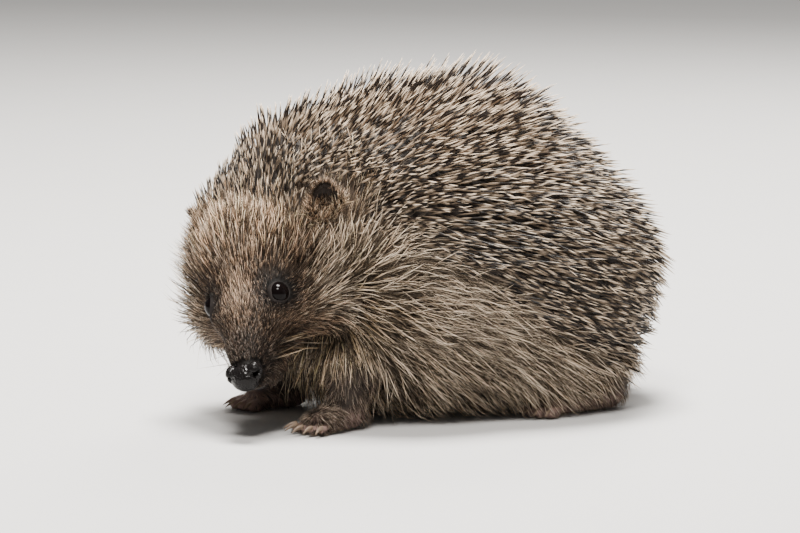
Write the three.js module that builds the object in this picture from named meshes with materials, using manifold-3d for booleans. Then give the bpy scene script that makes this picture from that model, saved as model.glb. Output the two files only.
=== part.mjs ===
// A young European hedgehog, life size, hunched on all fours with its head lowered and turned to its left.
// Millimetres, +Z up. The head points along -X and -Y, the rump along +X. The floor is z = 0.
import * as THREE from "three";
import { mergeVertices } from "three/addons/utils/BufferGeometryUtils.js";
import Module from "manifold-3d";

const wasm = await Module();
wasm.setup();
const { Manifold, Mesh: RawMesh } = wasm;
const V = (x, y, z) => new THREE.Vector3(x, y, z);

// ---- driving sizes -------------------------------------------------------------------------------
const GAP = 0.35; // clearance that touching nodes keep
const BELLY_Z = 11; // height of the flattened belly
const NOSE_TIP = V(-95.4, -29.1, 21.4);
const EYE_RADIUS = 3.2;
const SPINE_LENGTH = 18;
const SPINE_RADIUS = 0.8;
const SPINE_SPACING = 7.2;
const CROWN_SPACING = 5.4;
const LOCK_SPACING = 8.9;
const LOCK_LENGTH = 25;
const LOCK_WIDTH = 6.2;
const LOCK_THICK = 1.5;
const SINK = 3.2; // how deep a spine or lock is rooted
const FLOOR_CLEAR = 0.8; // the lowest point of any lock

// ---- small helpers -------------------------------------------------------------------------------
// A repeatable random source: each call gives the next number from 0 to 1.
function drawFrom(seed) {
  let state = seed >>> 0;
  return () => {
    state = (state + 0x6d2b79f5) >>> 0;
    let t = Math.imul(state ^ (state >>> 15), 1 | state);
    t = (t + Math.imul(t ^ (t >>> 7), 61 | t)) ^ t;
    return ((t ^ (t >>> 14)) >>> 0) / 4294967296;
  };
}
const clamp = (x, low, high) => Math.min(high, Math.max(low, x));
const ramp = (x, from, to) => {
  const t = clamp((x - from) / (to - from), 0, 1);
  return t * t * (3 - 2 * t);
};

// The head's own frame: forward along the muzzle, left, and up through the crown.
const FORWARD = V(-0.533, -0.542, -0.648).addScaledVector(V(0.554, -0.804, 0.218), 0.05).normalize();
const LEFT = V(0.554, -0.804, 0.218);
LEFT.addScaledVector(FORWARD, -LEFT.dot(FORWARD)).normalize();
const UP = FORWARD.clone().cross(LEFT);
const HEAD_AXES = [FORWARD, LEFT, UP];
// A point of the head: its distance behind the nose tip, to the animal's left, and above the muzzle's line.
const onHead = (back, left, up) =>
  NOSE_TIP.clone().addScaledVector(FORWARD, -back).addScaledVector(LEFT, left).addScaledVector(UP, up);

// ---- distance fields: negative inside the flesh ---------------------------------------------------
const blend = (a, b, k) => {
  const h = clamp(0.5 + (0.5 * (b - a)) / k, 0, 1);
  return b * (1 - h) + a * h - k * h * (1 - h);
};
const keep = (a, b, k) => -blend(-a, -b, k);
const WORLD_AXES = [V(1, 0, 0), V(0, 1, 0), V(0, 0, 1)];
function ellipsoid(centre, radii, axes = WORLD_AXES) {
  return (p) => {
    const d = p.clone().sub(centre);
    const q = axes.map((axis, i) => d.dot(axis) / radii[i]);
    const far = Math.hypot(...q);
    const slope = Math.hypot(...q.map((x, i) => x / radii[i])) + 1e-9;
    return (far * (far - 1)) / slope;
  };
}
function taper(start, startRadius, end, endRadius) {
  const run = end.clone().sub(start);
  return (p) => {
    const t = clamp(p.clone().sub(start).dot(run) / run.lengthSq(), 0, 1);
    const radius = startRadius + t * (endRadius - startRadius);
    return p.distanceTo(start.clone().addScaledVector(run, t)) - radius;
  };
}
const join = (fields, k) => (p) => fields.map((f) => f(p)).reduce((a, b) => blend(a, b, k));

const trunk = (() => {
  const chest = ellipsoid(V(-32, 0, 56), [35, 40, 46]);
  const barrel = ellipsoid(V(2, 0, 55), [58, 46, 51]);
  const rump = ellipsoid(V(24, 0, 45), [39.5, 45, 45]);
  const nape = ellipsoid(V(-57, 2, 72), [25, 27, 27]);
  const whole = join([barrel, rump, chest, nape], 13);
  return (p) => keep(whole(p), BELLY_Z - p.z, 14);
})();

const MUZZLE_LINE = [
  [3, -1, 5.0],
  [14, 0, 7.8],
  [28, 1.5, 13.8],
  [44, 3, 20.8],
  [58, 5, 25],
];
const skull = (() => {
  const cones = MUZZLE_LINE.slice(1).map(([back, up, radius], i) => {
    const [back0, up0, radius0] = MUZZLE_LINE[i];
    return taper(onHead(back0, 0, up0), radius0, onHead(back, 0, up), radius);
  });
  const cheeks = [1, -1].map((side) => ellipsoid(onHead(38, 13 * side, -3), [15, 11, 11], HEAD_AXES));
  const orbits = [1, -1].map((side) => ellipsoid(onHead(30, 8.8 * side, 6.5), [10, 6.5, 6.5], HEAD_AXES));
  const jaw = taper(onHead(12, 0, -5), 4.2, onHead(36, 0, -9), 9);
  return join([...cones, ...cheeks, ...orbits, jaw], 4.5);
})();

// ---- solids ----------------------------------------------------------------------------------------
// A closed three.js geometry as a manifold solid.
function solidOf(geometry) {
  const bare = geometry.clone();
  for (const name of Object.keys(bare.attributes)) if (name !== "position") bare.deleteAttribute(name);
  const merged = mergeVertices(bare, 1e-4);
  return new Manifold(
    new RawMesh({
      numProp: 3,
      vertProperties: new Float32Array(merged.attributes.position.array),
      triVerts: new Uint32Array(merged.index.array),
    }),
  );
}
// The largest closed surface of a solid.
const largest = (solid) =>
  solid
    .decompose()
    .reduce((best, piece) => (piece.volume() > best.volume() ? piece : best));
const fuse = (solids) => Manifold.union(solids);

// The surface of a field seen from an inner point: each vertex of a ball is pushed out along its ray to the
// place where the field reaches the given level.
function rayTo(field, centre, direction, level, reach = 190) {
  const at = (r) => field(centre.clone().addScaledVector(direction, r)) - level;
  const step = 1.5;
  let r = step;
  while (r < reach && at(r) < 0) r += step;
  let low = r - step;
  let high = r;
  for (let i = 0; i < 24; i++) {
    const middle = (low + high) / 2;
    if (at(middle) < 0) low = middle;
    else high = middle;
  }
  return low;
}
function shell(field, centre, detail, level = 0) {
  const ball = new THREE.IcosahedronGeometry(1, detail);
  const place = ball.attributes.position;
  for (let i = 0; i < place.count; i++) {
    const direction = V().fromBufferAttribute(place, i).normalize();
    const point = centre.clone().addScaledVector(direction, rayTo(field, centre, direction, level));
    place.setXYZ(i, point.x, point.y, point.z);
  }
  return solidOf(ball);
}
function normalOf(field, p) {
  const e = 0.2;
  const slope = WORLD_AXES.map(
    (axis) => field(p.clone().addScaledVector(axis, e)) - field(p.clone().addScaledVector(axis, -e)),
  );
  return V(...slope).normalize();
}
// The point of a field's surface nearest to p, found by walking along the field's slope.
function settle(field, p) {
  const q = p.clone();
  for (let i = 0; i < 12; i++) q.addScaledVector(normalOf(field, q), -field(q));
  return q;
}
const basis = (x, y, z, origin) => new THREE.Matrix4().makeBasis(x, y, z).setPosition(origin);
// A ball stretched to three radii along three axes.
const blob = (centre, radii, axes = WORLD_AXES, segments = 12) =>
  solidOf(
    new THREE.SphereGeometry(1, segments, Math.round(segments * 0.65))
      .scale(...radii)
      .applyMatrix4(basis(...axes, centre)),
  );
// Everything on the positive side of a plane, as a large box.
function halfSpace(point, normal) {
  const side = 400;
  const turn = new THREE.Quaternion().setFromUnitVectors(V(0, 0, 1), normal);
  const box = new THREE.BoxGeometry(side, side, side).translate(0, 0, side / 2);
  return solidOf(box.applyQuaternion(turn).translate(point.x, point.y, point.z));
}

// ---- where the body is parted ------------------------------------------------------------------------
const WAIST = { point: V(4, 0, 0), normal: V(1, 0, 0) }; // between the two halves of the torso
const COLLAR = { point: V(-38, 0, 80), normal: V(0.9, 0.15, -0.4).normalize() }; // between neck and torso
const past = (plane, p) => p.clone().sub(plane.point).dot(plane.normal);
const trunkNodeAt = (p) =>
  past(COLLAR, p) < 0 ? "neck" : past(WAIST, p) < 0 ? "torso_front" : "torso_rear";
const seamDistance = (p) => Math.min(Math.abs(past(COLLAR, p)), Math.abs(past(WAIST, p)));

const body = join([trunk, skull], 6);

// ---- ears, eyes and legs as fields, so that spines and locks keep clear of them ------------------------
const EAR_RADII = [3.4, 7.2, 9.5]; // thickness, width and height of the pinna
const EAR_ROOTS = [onHead(54, 28, 17), onHead(64, -25, 10)];
const EAR_TILTS = [[-0.25, 0.52, 0.8], [-0.45, -0.3, 0.8]]; // the right ear is laid further back
// A direction given by its parts along the muzzle, to the left and up.
const headward = (forward, left, up) =>
  V().addScaledVector(FORWARD, forward).addScaledVector(LEFT, left).addScaledVector(UP, up).normalize();
const ears = [1, -1].map((side, i) => {
  const root = settle(body, EAR_ROOTS[i]);
  const face = headward(0.75, 0.6 * side, 0.1);
  const tall = headward(...EAR_TILTS[i]);
  tall.addScaledVector(face, -tall.dot(face)).normalize();
  const wide = tall.clone().cross(face);
  const centre = root.clone().addScaledVector(tall, 5);
  const axes = [face, wide, tall];
  return { side, centre, axes, field: ellipsoid(centre, EAR_RADII, axes) };
});
const eyes = [1, -1].map((side) => {
  const inner = onHead(28.2, 0, 2);
  const outward = headward(0.16, 0.82 * side, 0.52);
  const reach = rayTo(skull, inner, outward, 0);
  return { side, centre: inner.clone().addScaledVector(outward, reach - 1.3), outward };
});

const LEGS = [
  { name: "fore_left", hip: V(-47, -20, 31), ankle: V(-55, -24, 11), toe: V(-67, -27, 5), thick: [10, 6] },
  { name: "fore_right", hip: V(-46, 22, 31), ankle: V(-52, 24, 11), toe: V(-64, 25, 5), thick: [10, 6] },
  { name: "hind_left", hip: V(32, -22, 30), ankle: V(42, -29, 10), toe: V(18, -33, 5), thick: [13, 7.5] },
  { name: "hind_right", hip: V(30, 22, 30), ankle: V(38, 29, 10), toe: V(14, 33, 5), thick: [13, 7.5] },
];
for (const leg of LEGS) {
  leg.limb = taper(leg.hip, leg.thick[0], leg.ankle, leg.thick[1]);
  leg.foot = taper(leg.ankle.clone().setZ(5.6), 6.2, leg.toe.clone().setZ(4.9), 5.6);
}
const TAIL = { root: V(54, 0, 22), tip: V(70, 0, 12), thick: [5, 2.2] };
const tailField = taper(TAIL.root, TAIL.thick[0], TAIL.tip, TAIL.thick[1]);

// ---- the lie of the coat ---------------------------------------------------------------------------
// Spines and hair sweep from the brow over the back to the rump, and fall away down the flanks.
function lieAt(p, normal, fall) {
  const away = clamp(p.y / 40, -1, 1);
  const flow = V(1, 0.45 * away, -0.12 - fall * (1 - clamp(p.z / 105, 0, 1)));
  return flow.addScaledVector(normal, -flow.dot(normal)).normalize();
}
// On the head the coat runs back from the nose.
function headLieAt(p, normal) {
  const flow = FORWARD.clone().negate().addScaledVector(UP, 0.35);
  return flow.addScaledVector(normal, -flow.dot(normal)).normalize();
}
// Height of the edge between the spines and the hair of the flank: high behind the ear, low at the rump.
const skirtHeight = (x) => 62 - 46 * ramp(x, -55, 62);
const isMantle = (p) => p.z > skirtHeight(p.x);
const headCoords = (p) => {
  const d = p.clone().sub(NOSE_TIP);
  return { back: -d.dot(FORWARD), left: d.dot(LEFT), up: d.dot(UP) };
};
// The crown's spines start above the ears and end in an arc over the brow.
const isCrown = (p) => {
  const { back, left, up } = headCoords(p);
  const hairline = 0.01 * left * left;
  return up > 17 + hairline - 0.5 * Math.max(back - 52, 0) && back > 40 + hairline;
};

// ---- spines and locks -------------------------------------------------------------------------------
// One strand: a cone whose vertices are carried along a bent path and flattened to a width and thickness.
function strandSolid(strand) {
  const { sides, steps, width, thick, fullness } = strand;
  const cone = new THREE.ConeGeometry(1, 1, sides, steps, false);
  const place = cone.attributes.position;
  for (let i = 0; i < place.count; i++) {
    const s = place.getY(i) + 0.5;
    const swell = s > 0.999 ? 0 : (1 - s ** fullness) / (1 - s);
    const { centre, across, out } = strand.at(s);
    centre.addScaledVector(across, (place.getX(i) * swell * width) / 2);
    centre.addScaledVector(out, (place.getZ(i) * swell * thick) / 2);
    place.setXYZ(i, centre.x, centre.y, centre.z);
  }
  return solidOf(cone);
}
// A strand from its root on the surface, starting along one direction and bending to another.
function strandOf(root, normal, start, end, length, shape) {
  const turn = end.clone().sub(start);
  const total = length + SINK;
  const at = (s) => {
    const run = s * total - SINK;
    const t = Math.max(run, 0) / length;
    const centre = root.clone().addScaledVector(start, run).addScaledVector(turn, 0.5 * length * t * t);
    const along = start.clone().addScaledVector(turn, t).normalize();
    const across = along.clone().cross(normal).normalize();
    return { centre, across, out: across.clone().cross(along).normalize() };
  };
  const strand = { root, at, ...shape };
  strand.halfWidth = (s) => (shape.width / 2) * (1 - s ** shape.fullness);
  strand.halfThick = (s) => (shape.thick / 2) * (1 - s ** shape.fullness);
  return strand;
}
const SAMPLES = Array.from({ length: 15 }, (_, i) => 0.125 + 0.0625 * i);
// The centres and radii of balls that hold a strand outside the skin.
function ballsOf(strand) {
  return SAMPLES.map((s) => ({ centre: strand.at(s).centre, radius: strand.halfWidth(s) }));
}
// True if no part of a strand outside the skin comes near the given fields.
function clearOfFields(strand, fields) {
  return SAMPLES.every((s) => {
    const { centre, across } = strand.at(s);
    const edge = strand.halfWidth(s);
    const points = [0, edge, -edge].map((shift) => centre.clone().addScaledVector(across, shift));
    return points.every((p) => fields.every((field) => field(p) > strand.halfThick(s) + GAP + 0.15));
  });
}
// True if a strand keeps clear of the strands that other nodes carry.
function clearOfStrands(strand, others) {
  return others.every((other) => {
    if (other.root.distanceTo(strand.root) > 55) return true;
    return strand.balls.every((a) =>
      other.balls.every((b) => a.centre.distanceTo(b.centre) > a.radius + b.radius + GAP + 0.5),
    );
  });
}

const carried = { head: [], neck: [], torso_front: [], torso_rear: [] };
const legFields = LEGS.flatMap((leg) => [leg.limb, leg.foot]);
const outerFields = [...ears.map((ear) => ear.field), ...legFields, tailField];
// Adds a strand to its node if its root is well inside that node and it meets no other node.
function plant(node, strand) {
  const deep = strand.at(0).centre;
  const tip = strand.at(1).centre;
  if (Math.min(tip.z, strand.at(0.8).centre.z - 1) < FLOOR_CLEAR) return false;
  if (!clearOfFields(strand, [node === "head" ? trunk : skull, ...outerFields])) return false;
  if (node !== "head") {
    if (Math.min(seamDistance(strand.root), seamDistance(deep) + 0.4) < 1.9) return false;
    if (trunkNodeAt(deep) !== node || skull(deep) < 1.6) return false;
    const dips = (s) => s > 0.4 && trunk(strand.at(s).centre) < strand.halfThick(s) + GAP;
    if (SAMPLES.some(dips) && trunkNodeAt(tip) !== node) return false;
  }
  strand.balls = ballsOf(strand);
  const others = Object.entries(carried).flatMap(([name, list]) => (name === node ? [] : list));
  if (!clearOfStrands(strand, others)) return false;
  carried[node].push(strand);
  return true;
}

// Evenly spread points on a field's surface: points of a spiral ball, kept where none is too near.
function scatter(field, centre, count, spacing, wanted, taken) {
  const golden = Math.PI * (3 - Math.sqrt(5));
  const found = [];
  for (let i = 0; i < count; i++) {
    const z = 1 - (2 * i + 1) / count;
    const ring = Math.sqrt(1 - z * z);
    const direction = V(Math.cos(golden * i) * ring, Math.sin(golden * i) * ring, z);
    const p = centre.clone().addScaledVector(direction, rayTo(field, centre, direction, 0));
    if (wanted(p) && taken.every((q) => q.distanceTo(p) > spacing)) {
      taken.push(p);
      found.push(p);
    }
  }
  return found;
}

const TRUNK_CENTRE = V(-4, 0, 52);
const SKULL_CENTRE = onHead(48, 0, 5);
const SPINE_WIDTH = 2 * SPINE_RADIUS;
const SPINE_SHAPE = { sides: 3, steps: 1, width: SPINE_WIDTH, thick: SPINE_WIDTH, fullness: 2.4 };
const LOCK_SHAPE = { sides: 4, steps: 3, width: LOCK_WIDTH, thick: LOCK_THICK, fullness: 2.2 };
const draw = drawFrom(20);
const vary = (share) => 1 + share * (2 * draw() - 1);

function plantSpine(node, root, normal, lie, lift, length) {
  const across = normal.clone().cross(lie);
  for (let attempt = 0; attempt < 3; attempt++) {
    const rise = lift * vary(0.22);
    const start = lie.clone().multiplyScalar(Math.cos(rise)).addScaledVector(normal, Math.sin(rise));
    start.addScaledVector(across, 0.28 * (2 * draw() - 1)).normalize();
    const end = start.clone().addScaledVector(lie, 0.16).normalize();
    const strand = strandOf(root, normal, start, end, length * vary(0.14), SPINE_SHAPE);
    if (plant(node, strand)) return;
  }
}

// The back's spines stand up most along the ridge and lie flatter down the flanks.
const spineRoots = [];
const onBack = (p) => isMantle(p) && skull(p) > 2.4;
for (const root of scatter(trunk, TRUNK_CENTRE, 9000, SPINE_SPACING, onBack, spineRoots)) {
  const normal = normalOf(trunk, root);
  const lift = 0.5 + 0.18 * ramp(root.z, 50, 100);
  plantSpine(trunkNodeAt(root), root, normal, lieAt(root, normal, 0.75), lift, SPINE_LENGTH);
}
const onCrown = (p) => isCrown(p) && trunk(p) > 2.2;
for (const root of scatter(skull, SKULL_CENTRE, 5000, CROWN_SPACING, onCrown, spineRoots)) {
  const normal = normalOf(skull, root);
  plantSpine("head", root, normal, headLieAt(root, normal), 0.62, SPINE_LENGTH * 0.8);
}

// The flank's long hair hangs back and down in flat locks: a skirt round the belly, a bib under the throat.
const isSkirt = (p) =>
  !isMantle(p) && p.z > 17 && skull(p) > 3.2 && spineRoots.every((q) => q.distanceTo(p) > 3.4);
for (const root of scatter(trunk, TRUNK_CENTRE, 9000, LOCK_SPACING, isSkirt, [])) {
  const normal = normalOf(trunk, root);
  const lie = lieAt(root, normal, 1.5);
  const start = lie.clone().addScaledVector(normal, 0.34 + 0.3 * ramp(-root.x, 40, 60)).normalize();
  const end = lie.clone().addScaledVector(normal, 0.02).addScaledVector(V(0, 0, -1), 0.3).normalize();
  for (const share of [1, 0.75, 0.5, 0.35]) {
    const strand = strandOf(root, normal, start, end, LOCK_LENGTH * share * vary(0.12), LOCK_SHAPE);
    if (plant(trunkNodeAt(root), strand)) break;
  }
}
// Shorter locks stand back from the cheeks.
const CHEEK_LOCK = { ...LOCK_SHAPE, width: 4.4, thick: 1.3 };
const CHEEK_LENGTH = 11.5;
const CHEEK_SPACING = 7.6;
const onCheek = (p) => {
  const { back, left, up } = headCoords(p);
  return back > 36 && up < 10 && Math.abs(left) > 9 && trunk(p) > 3;
};
for (const root of scatter(skull, SKULL_CENTRE, 4000, CHEEK_SPACING, onCheek, [])) {
  const normal = normalOf(skull, root);
  const lie = headLieAt(root, normal);
  const start = lie.clone().addScaledVector(normal, 0.5).normalize();
  const end = lie.clone().addScaledVector(normal, 0.12).normalize();
  for (const share of [1, 0.7]) {
    const length = CHEEK_LENGTH * share * vary(0.12);
    if (plant("head", strandOf(root, normal, start, end, length, CHEEK_LOCK))) break;
  }
}

// ---- the pieces ---------------------------------------------------------------------------------------
const headGrown = shell(skull, SKULL_CENTRE, 7, GAP);
const trunkGrown = shell(trunk, TRUNK_CENTRE, 7, GAP);
const above = (plane, shift) =>
  halfSpace(plane.point.clone().addScaledVector(plane.normal, shift), plane.normal);
const below = (plane, shift) =>
  halfSpace(plane.point.clone().addScaledVector(plane.normal, shift), plane.normal.clone().negate());

const trunkShell = shell(trunk, TRUNK_CENTRE, 7);
const cores = {
  neck: trunkShell.intersect(below(COLLAR, -GAP / 2)).subtract(headGrown),
  torso_front: trunkShell
    .intersect(above(COLLAR, GAP / 2))
    .intersect(below(WAIST, -GAP / 2))
    .subtract(headGrown),
  torso_rear: trunkShell.intersect(above(WAIST, GAP / 2)),
};
const dressed = (core, strands) => largest(fuse([largest(core), ...strands.map(strandSolid)]));

// The eyelids are a ring round each eye, and the head has a socket under the eyeball.
function eyeball({ centre, outward }, radius, segments) {
  const across = outward.clone().cross(UP).normalize();
  return blob(centre, [radius, radius, radius], [outward, across, outward.clone().cross(across)], segments);
}
function eyelid({ centre, outward }) {
  const ring = new THREE.TorusGeometry(EYE_RADIUS + 0.5, 0.85, 5, 12);
  const turn = new THREE.Quaternion().setFromUnitVectors(V(0, 0, 1), outward);
  const place = centre.clone().addScaledVector(outward, 0.9);
  return solidOf(ring.applyQuaternion(turn).translate(place.x, place.y, place.z));
}
// The mouth is a groove along each side of the muzzle, under the nose.
const MOUTH_LINE = [
  [6, 2.6, -5],
  [11, 5.2, -4.2],
  [17, 7.6, -4.4],
  [23, 9.8, -4],
];
function mouthGroove(side) {
  const points = MOUTH_LINE.map(([back, left, up]) => settle(skull, onHead(back, left * side, up)));
  const path = new THREE.CatmullRomCurve3(points);
  const section = new THREE.Shape().absarc(0, 0, 0.5, 0, 2 * Math.PI);
  const along = { steps: 8, curveSegments: 3, extrudePath: path, bevelEnabled: false };
  return solidOf(new THREE.ExtrudeGeometry(section, along));
}
// The bare nose: a broad pad with a rounded wing over each nostril, which opens to the side.
const NOSE_RADII = [4.6, 5.6, 4.4];
function nosePad() {
  const pad = blob(onHead(0.6, 0, -0.4), NOSE_RADII, HEAD_AXES, 12);
  const wings = [1, -1].map((side) => blob(onHead(0.4, 3.7 * side, 0.4), [3.4, 2.6, 3], HEAD_AXES, 8));
  const nostrils = [1, -1].map((side) =>
    blob(onHead(-1.6, 5.2 * side, 0.2), [2.2, 1.5, 1], HEAD_AXES, 6),
  );
  return fuse([pad, ...wings]).subtract(fuse(nostrils));
}
const nose = nosePad().subtract(headGrown);
const headCore = shell(skull, SKULL_CENTRE, 7);
const head = largest(
  fuse([headCore, ...eyes.map(eyelid), ...carried.head.map(strandSolid)])
    .subtract(fuse(eyes.map((eye) => eyeball(eye, EYE_RADIUS + GAP, 12))))
    .subtract(fuse([mouthGroove(1), mouthGroove(-1)])),
);

// The pinna is a flattened egg with its front hollowed to a cup.
function pinna({ centre, axes }) {
  const outer = blob(centre, EAR_RADII, axes, 12);
  const cupCentre = centre.clone().addScaledVector(axes[0], 3.5).addScaledVector(axes[2], 0.8);
  const cup = blob(cupCentre, [4.0, 5.4, 7.2], axes, 10);
  return largest(outer.subtract(cup).subtract(headGrown).subtract(trunkGrown));
}

// A leg is a thigh or upper arm that tapers to the ankle. Its paw is a broad sole with five clawed toes,
// cut off flat at the floor.
const TOES = 5;
const CLAW = { sides: 3, steps: 1, width: 1.4, thick: 1.7, fullness: 1.6 };
const CLAW_LENGTH = 4.6;
const soleOf = (leg, level = 0) => shell(leg.foot, leg.ankle.clone().lerp(leg.toe, 0.4).setZ(5.4), 2, level);
function limb(leg) {
  const centre = leg.hip.clone().lerp(leg.ankle, 0.6);
  const solid = shell(leg.limb, centre, 2);
  return largest(solid.subtract(trunkGrown).subtract(headGrown).subtract(soleOf(leg, GAP)));
}
function paw(leg) {
  const ahead = leg.toe.clone().sub(leg.ankle).setZ(0).normalize();
  const aside = V(-ahead.y, ahead.x, 0);
  const pieces = [soleOf(leg)];
  for (let i = 0; i < TOES; i++) {
    const spread = (2 * i) / (TOES - 1) - 1;
    const heading = ahead.clone().addScaledVector(aside, 0.42 * spread).normalize();
    const axes = [heading, WORLD_AXES[2].clone().cross(heading), WORLD_AXES[2]];
    const length = 6.5 - 2.2 * spread * spread;
    const base = leg.toe.clone().setZ(2.2).addScaledVector(aside, 4.4 * spread);
    pieces.push(blob(base.clone().addScaledVector(heading, 0.7 * length), [length, 1.8, 2.4], axes, 5));
    const root = base.addScaledVector(heading, 1.35 * length);
    const start = heading.clone().addScaledVector(axes[2], 0.15).normalize();
    const end = heading.clone().addScaledVector(axes[2], -0.55).normalize();
    pieces.push(strandSolid(strandOf(root, axes[2], start, end, CLAW_LENGTH, CLAW)));
  }
  return largest(fuse(pieces).intersect(halfSpace(V(0, 0, 0), WORLD_AXES[2])).subtract(trunkGrown));
}
function tail() {
  const solid = shell(tailField, TAIL.root.clone().lerp(TAIL.tip, 0.5), 2);
  return largest(solid.subtract(trunkGrown));
}

// ---- the model ----------------------------------------------------------------------------------------
const finish = (color, roughness) => new THREE.MeshStandardMaterial({ color, roughness, metalness: 0 });
const MATERIALS = {
  coat: finish(0x5c4a3a, 0.75),
  face: finish(0x6a5848, 0.85),
  ear: finish(0x3f332b, 0.8),
  eye: finish(0x0b0908, 0.06),
  nose: finish(0x141213, 0.25),
  leg: finish(0x6b5747, 0.85),
  paw: finish(0x5f4a40, 0.7),
};
const hedgehog = new THREE.Group();
hedgehog.name = "hedgehog";
function add(name, solid, material) {
  const { vertProperties, triVerts, numProp, numVert } = solid.getMesh();
  const positions = new Float32Array(numVert * 3);
  for (let i = 0; i < numVert; i++) {
    positions.set(vertProperties.subarray(i * numProp, i * numProp + 3), i * 3);
  }
  const geometry = new THREE.BufferGeometry();
  geometry.setAttribute("position", new THREE.BufferAttribute(positions, 3));
  geometry.setIndex(new THREE.BufferAttribute(new Uint32Array(triVerts), 1));
  geometry.computeVertexNormals();
  const mesh = new THREE.Mesh(geometry, material);
  mesh.name = name;
  hedgehog.add(mesh);
}

add("head", head, MATERIALS.face);
add("nose", largest(nose), MATERIALS.nose);
const sideName = (piece) => (piece.side > 0 ? "left" : "right");
eyes.forEach((eye) => add(`eye_${sideName(eye)}`, eyeball(eye, EYE_RADIUS, 12), MATERIALS.eye));
ears.forEach((ear) => add(`ear_${sideName(ear)}`, pinna(ear), MATERIALS.ear));
for (const name of Object.keys(cores)) add(name, dressed(cores[name], carried[name]), MATERIALS.coat);
add("tail", tail(), MATERIALS.leg);
for (const leg of LEGS) {
  add(`leg_${leg.name}`, limb(leg), MATERIALS.leg);
  add(`paw_${leg.name}`, paw(leg), MATERIALS.paw);
}

// The origin is on the floor, under the middle of the whole.
const whole = new THREE.Box3().setFromObject(hedgehog);
hedgehog.position.set(-(whole.min.x + whole.max.x) / 2, -(whole.min.y + whole.max.y) / 2, -whole.min.z);

export default hedgehog;
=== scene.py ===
"""A young European hedgehog, life size, built as an add-on that is run as a script.

Shapes are worked out in millimetres in the solids' own design frame, with +Z up and the floor at z = 0.
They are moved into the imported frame, in metres, when a mesh is made.
"""

import math
from functools import reduce

import bpy
import numpy as np
from bpy.props import FloatProperty, FloatVectorProperty, PointerProperty
from mathutils import Matrix, Vector


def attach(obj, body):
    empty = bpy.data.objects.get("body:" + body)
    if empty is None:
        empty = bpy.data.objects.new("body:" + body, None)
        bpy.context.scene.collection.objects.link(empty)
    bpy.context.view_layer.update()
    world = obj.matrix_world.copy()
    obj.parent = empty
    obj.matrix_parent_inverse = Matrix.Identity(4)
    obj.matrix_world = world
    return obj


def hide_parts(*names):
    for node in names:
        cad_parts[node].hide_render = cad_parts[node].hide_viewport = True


bl_info = {
    "name": "Hedgehog",
    "version": (1, 0, 0),
    "blender": (4, 5, 0),
    "location": "View3D > Sidebar > Hedgehog",
    "description": "Builds a hedgehog's skin, face, spines and hair over its solids",
    "category": "Add Mesh",
}

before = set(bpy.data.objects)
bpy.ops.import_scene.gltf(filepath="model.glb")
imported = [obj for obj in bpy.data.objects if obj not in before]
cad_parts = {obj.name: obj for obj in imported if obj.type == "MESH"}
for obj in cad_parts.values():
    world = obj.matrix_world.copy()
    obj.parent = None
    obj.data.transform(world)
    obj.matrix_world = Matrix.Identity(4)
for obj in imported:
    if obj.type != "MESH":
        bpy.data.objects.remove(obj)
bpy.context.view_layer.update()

# ---- driving sizes, in millimetres ---------------------------------------------------------------
MM = 0.001  # metres in a millimetre
BELLY_Z = 11.0
NOSE_TIP = np.array([-95.4, -29.1, 21.4])
SOLE_Z = 0.12  # the lowest skin of the paws
FUR_DEPTH = 0.9  # how far the face's skin lies inside the solid
RUMP_DEPTH = 7.0  # and the skin of the rump, under its spines
VOXEL = 0.9  # grid on which the skin's parts are joined

LIMBS = {  # hip, ankle, toe, and the thickness at hip and ankle
    "fore_left": ((-47, -20, 31), (-55, -24, 11), (-67, -27, 5), (10, 6)),
    "fore_right": ((-46, 22, 31), (-52, 24, 11), (-64, 25, 5), (10, 6)),
    "hind_left": ((32, -22, 30), (42, -29, 10), (18, -33, 5), (13, 7.5)),
    "hind_right": ((30, 22, 30), (38, 29, 10), (14, 33, 5), (13, 7.5)),
}
TAIL = ((54, 0, 22), (70, 0, 12), (5, 2.2))
TOES = 5
MUZZLE_LINE = ((3, -1, 5.0), (14, 0, 7.8), (28, 1.5, 13.8), (44, 3, 20.8), (58, 5, 25))
MOUTH_LINE = ((5, 2.4, -5.4), (11, 5.2, -4.6), (17, 7.6, -4.6), (24, 10.2, -3.6))
TRUNK_CENTRE = np.array([-4.0, 0.0, 52.0])


# ---- small helpers -------------------------------------------------------------------------------
def dot(a, b):
    return np.sum(a * b, axis=-1, keepdims=True)


def unit(v):
    return v / (np.linalg.norm(v, axis=-1, keepdims=True) + 1e-12)


def flat(v, normal):
    """The part of v that is square to normal, at unit length."""
    return unit(v - dot(v, normal) * normal)


def ramp(x, start, end):
    """Smooth step: 0 at start, 1 at end, level at both."""
    t = np.clip((x - start) / (end - start), 0, 1)
    return t * t * (3 - 2 * t)


def xyz(p):
    """The three coordinates of points, each as its own array."""
    return p[..., 0], p[..., 1], p[..., 2]


def mix(a, b, share):
    """a where share is 0 and b where it is 1, for rows of colours or points."""
    share = np.asarray(share)[..., None]
    return a * (1 - share) + np.asarray(b) * share


# ---- the head's own frame: forward along the muzzle, left, and up through the crown --------------
TILT = np.array([0.554, -0.804, 0.218])
FORWARD = unit(np.array([-0.533, -0.542, -0.648]) + 0.05 * TILT)
LEFT = flat(TILT, FORWARD)
UP = np.cross(FORWARD, LEFT)
HEAD_AXES = np.stack([FORWARD, LEFT, UP])


def on_head(back, left, up):
    """A point by its distance behind the nose tip, to the animal's left, and above the muzzle's line."""
    return NOSE_TIP - back * FORWARD + left * LEFT + up * UP


def headward(forward, left, up):
    return unit(forward * FORWARD + left * LEFT + up * UP)


def head_coords(p):
    d = p - NOSE_TIP
    return -d @ FORWARD, d @ LEFT, d @ UP


SKULL_CENTRE = on_head(48, 0, 5)


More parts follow.
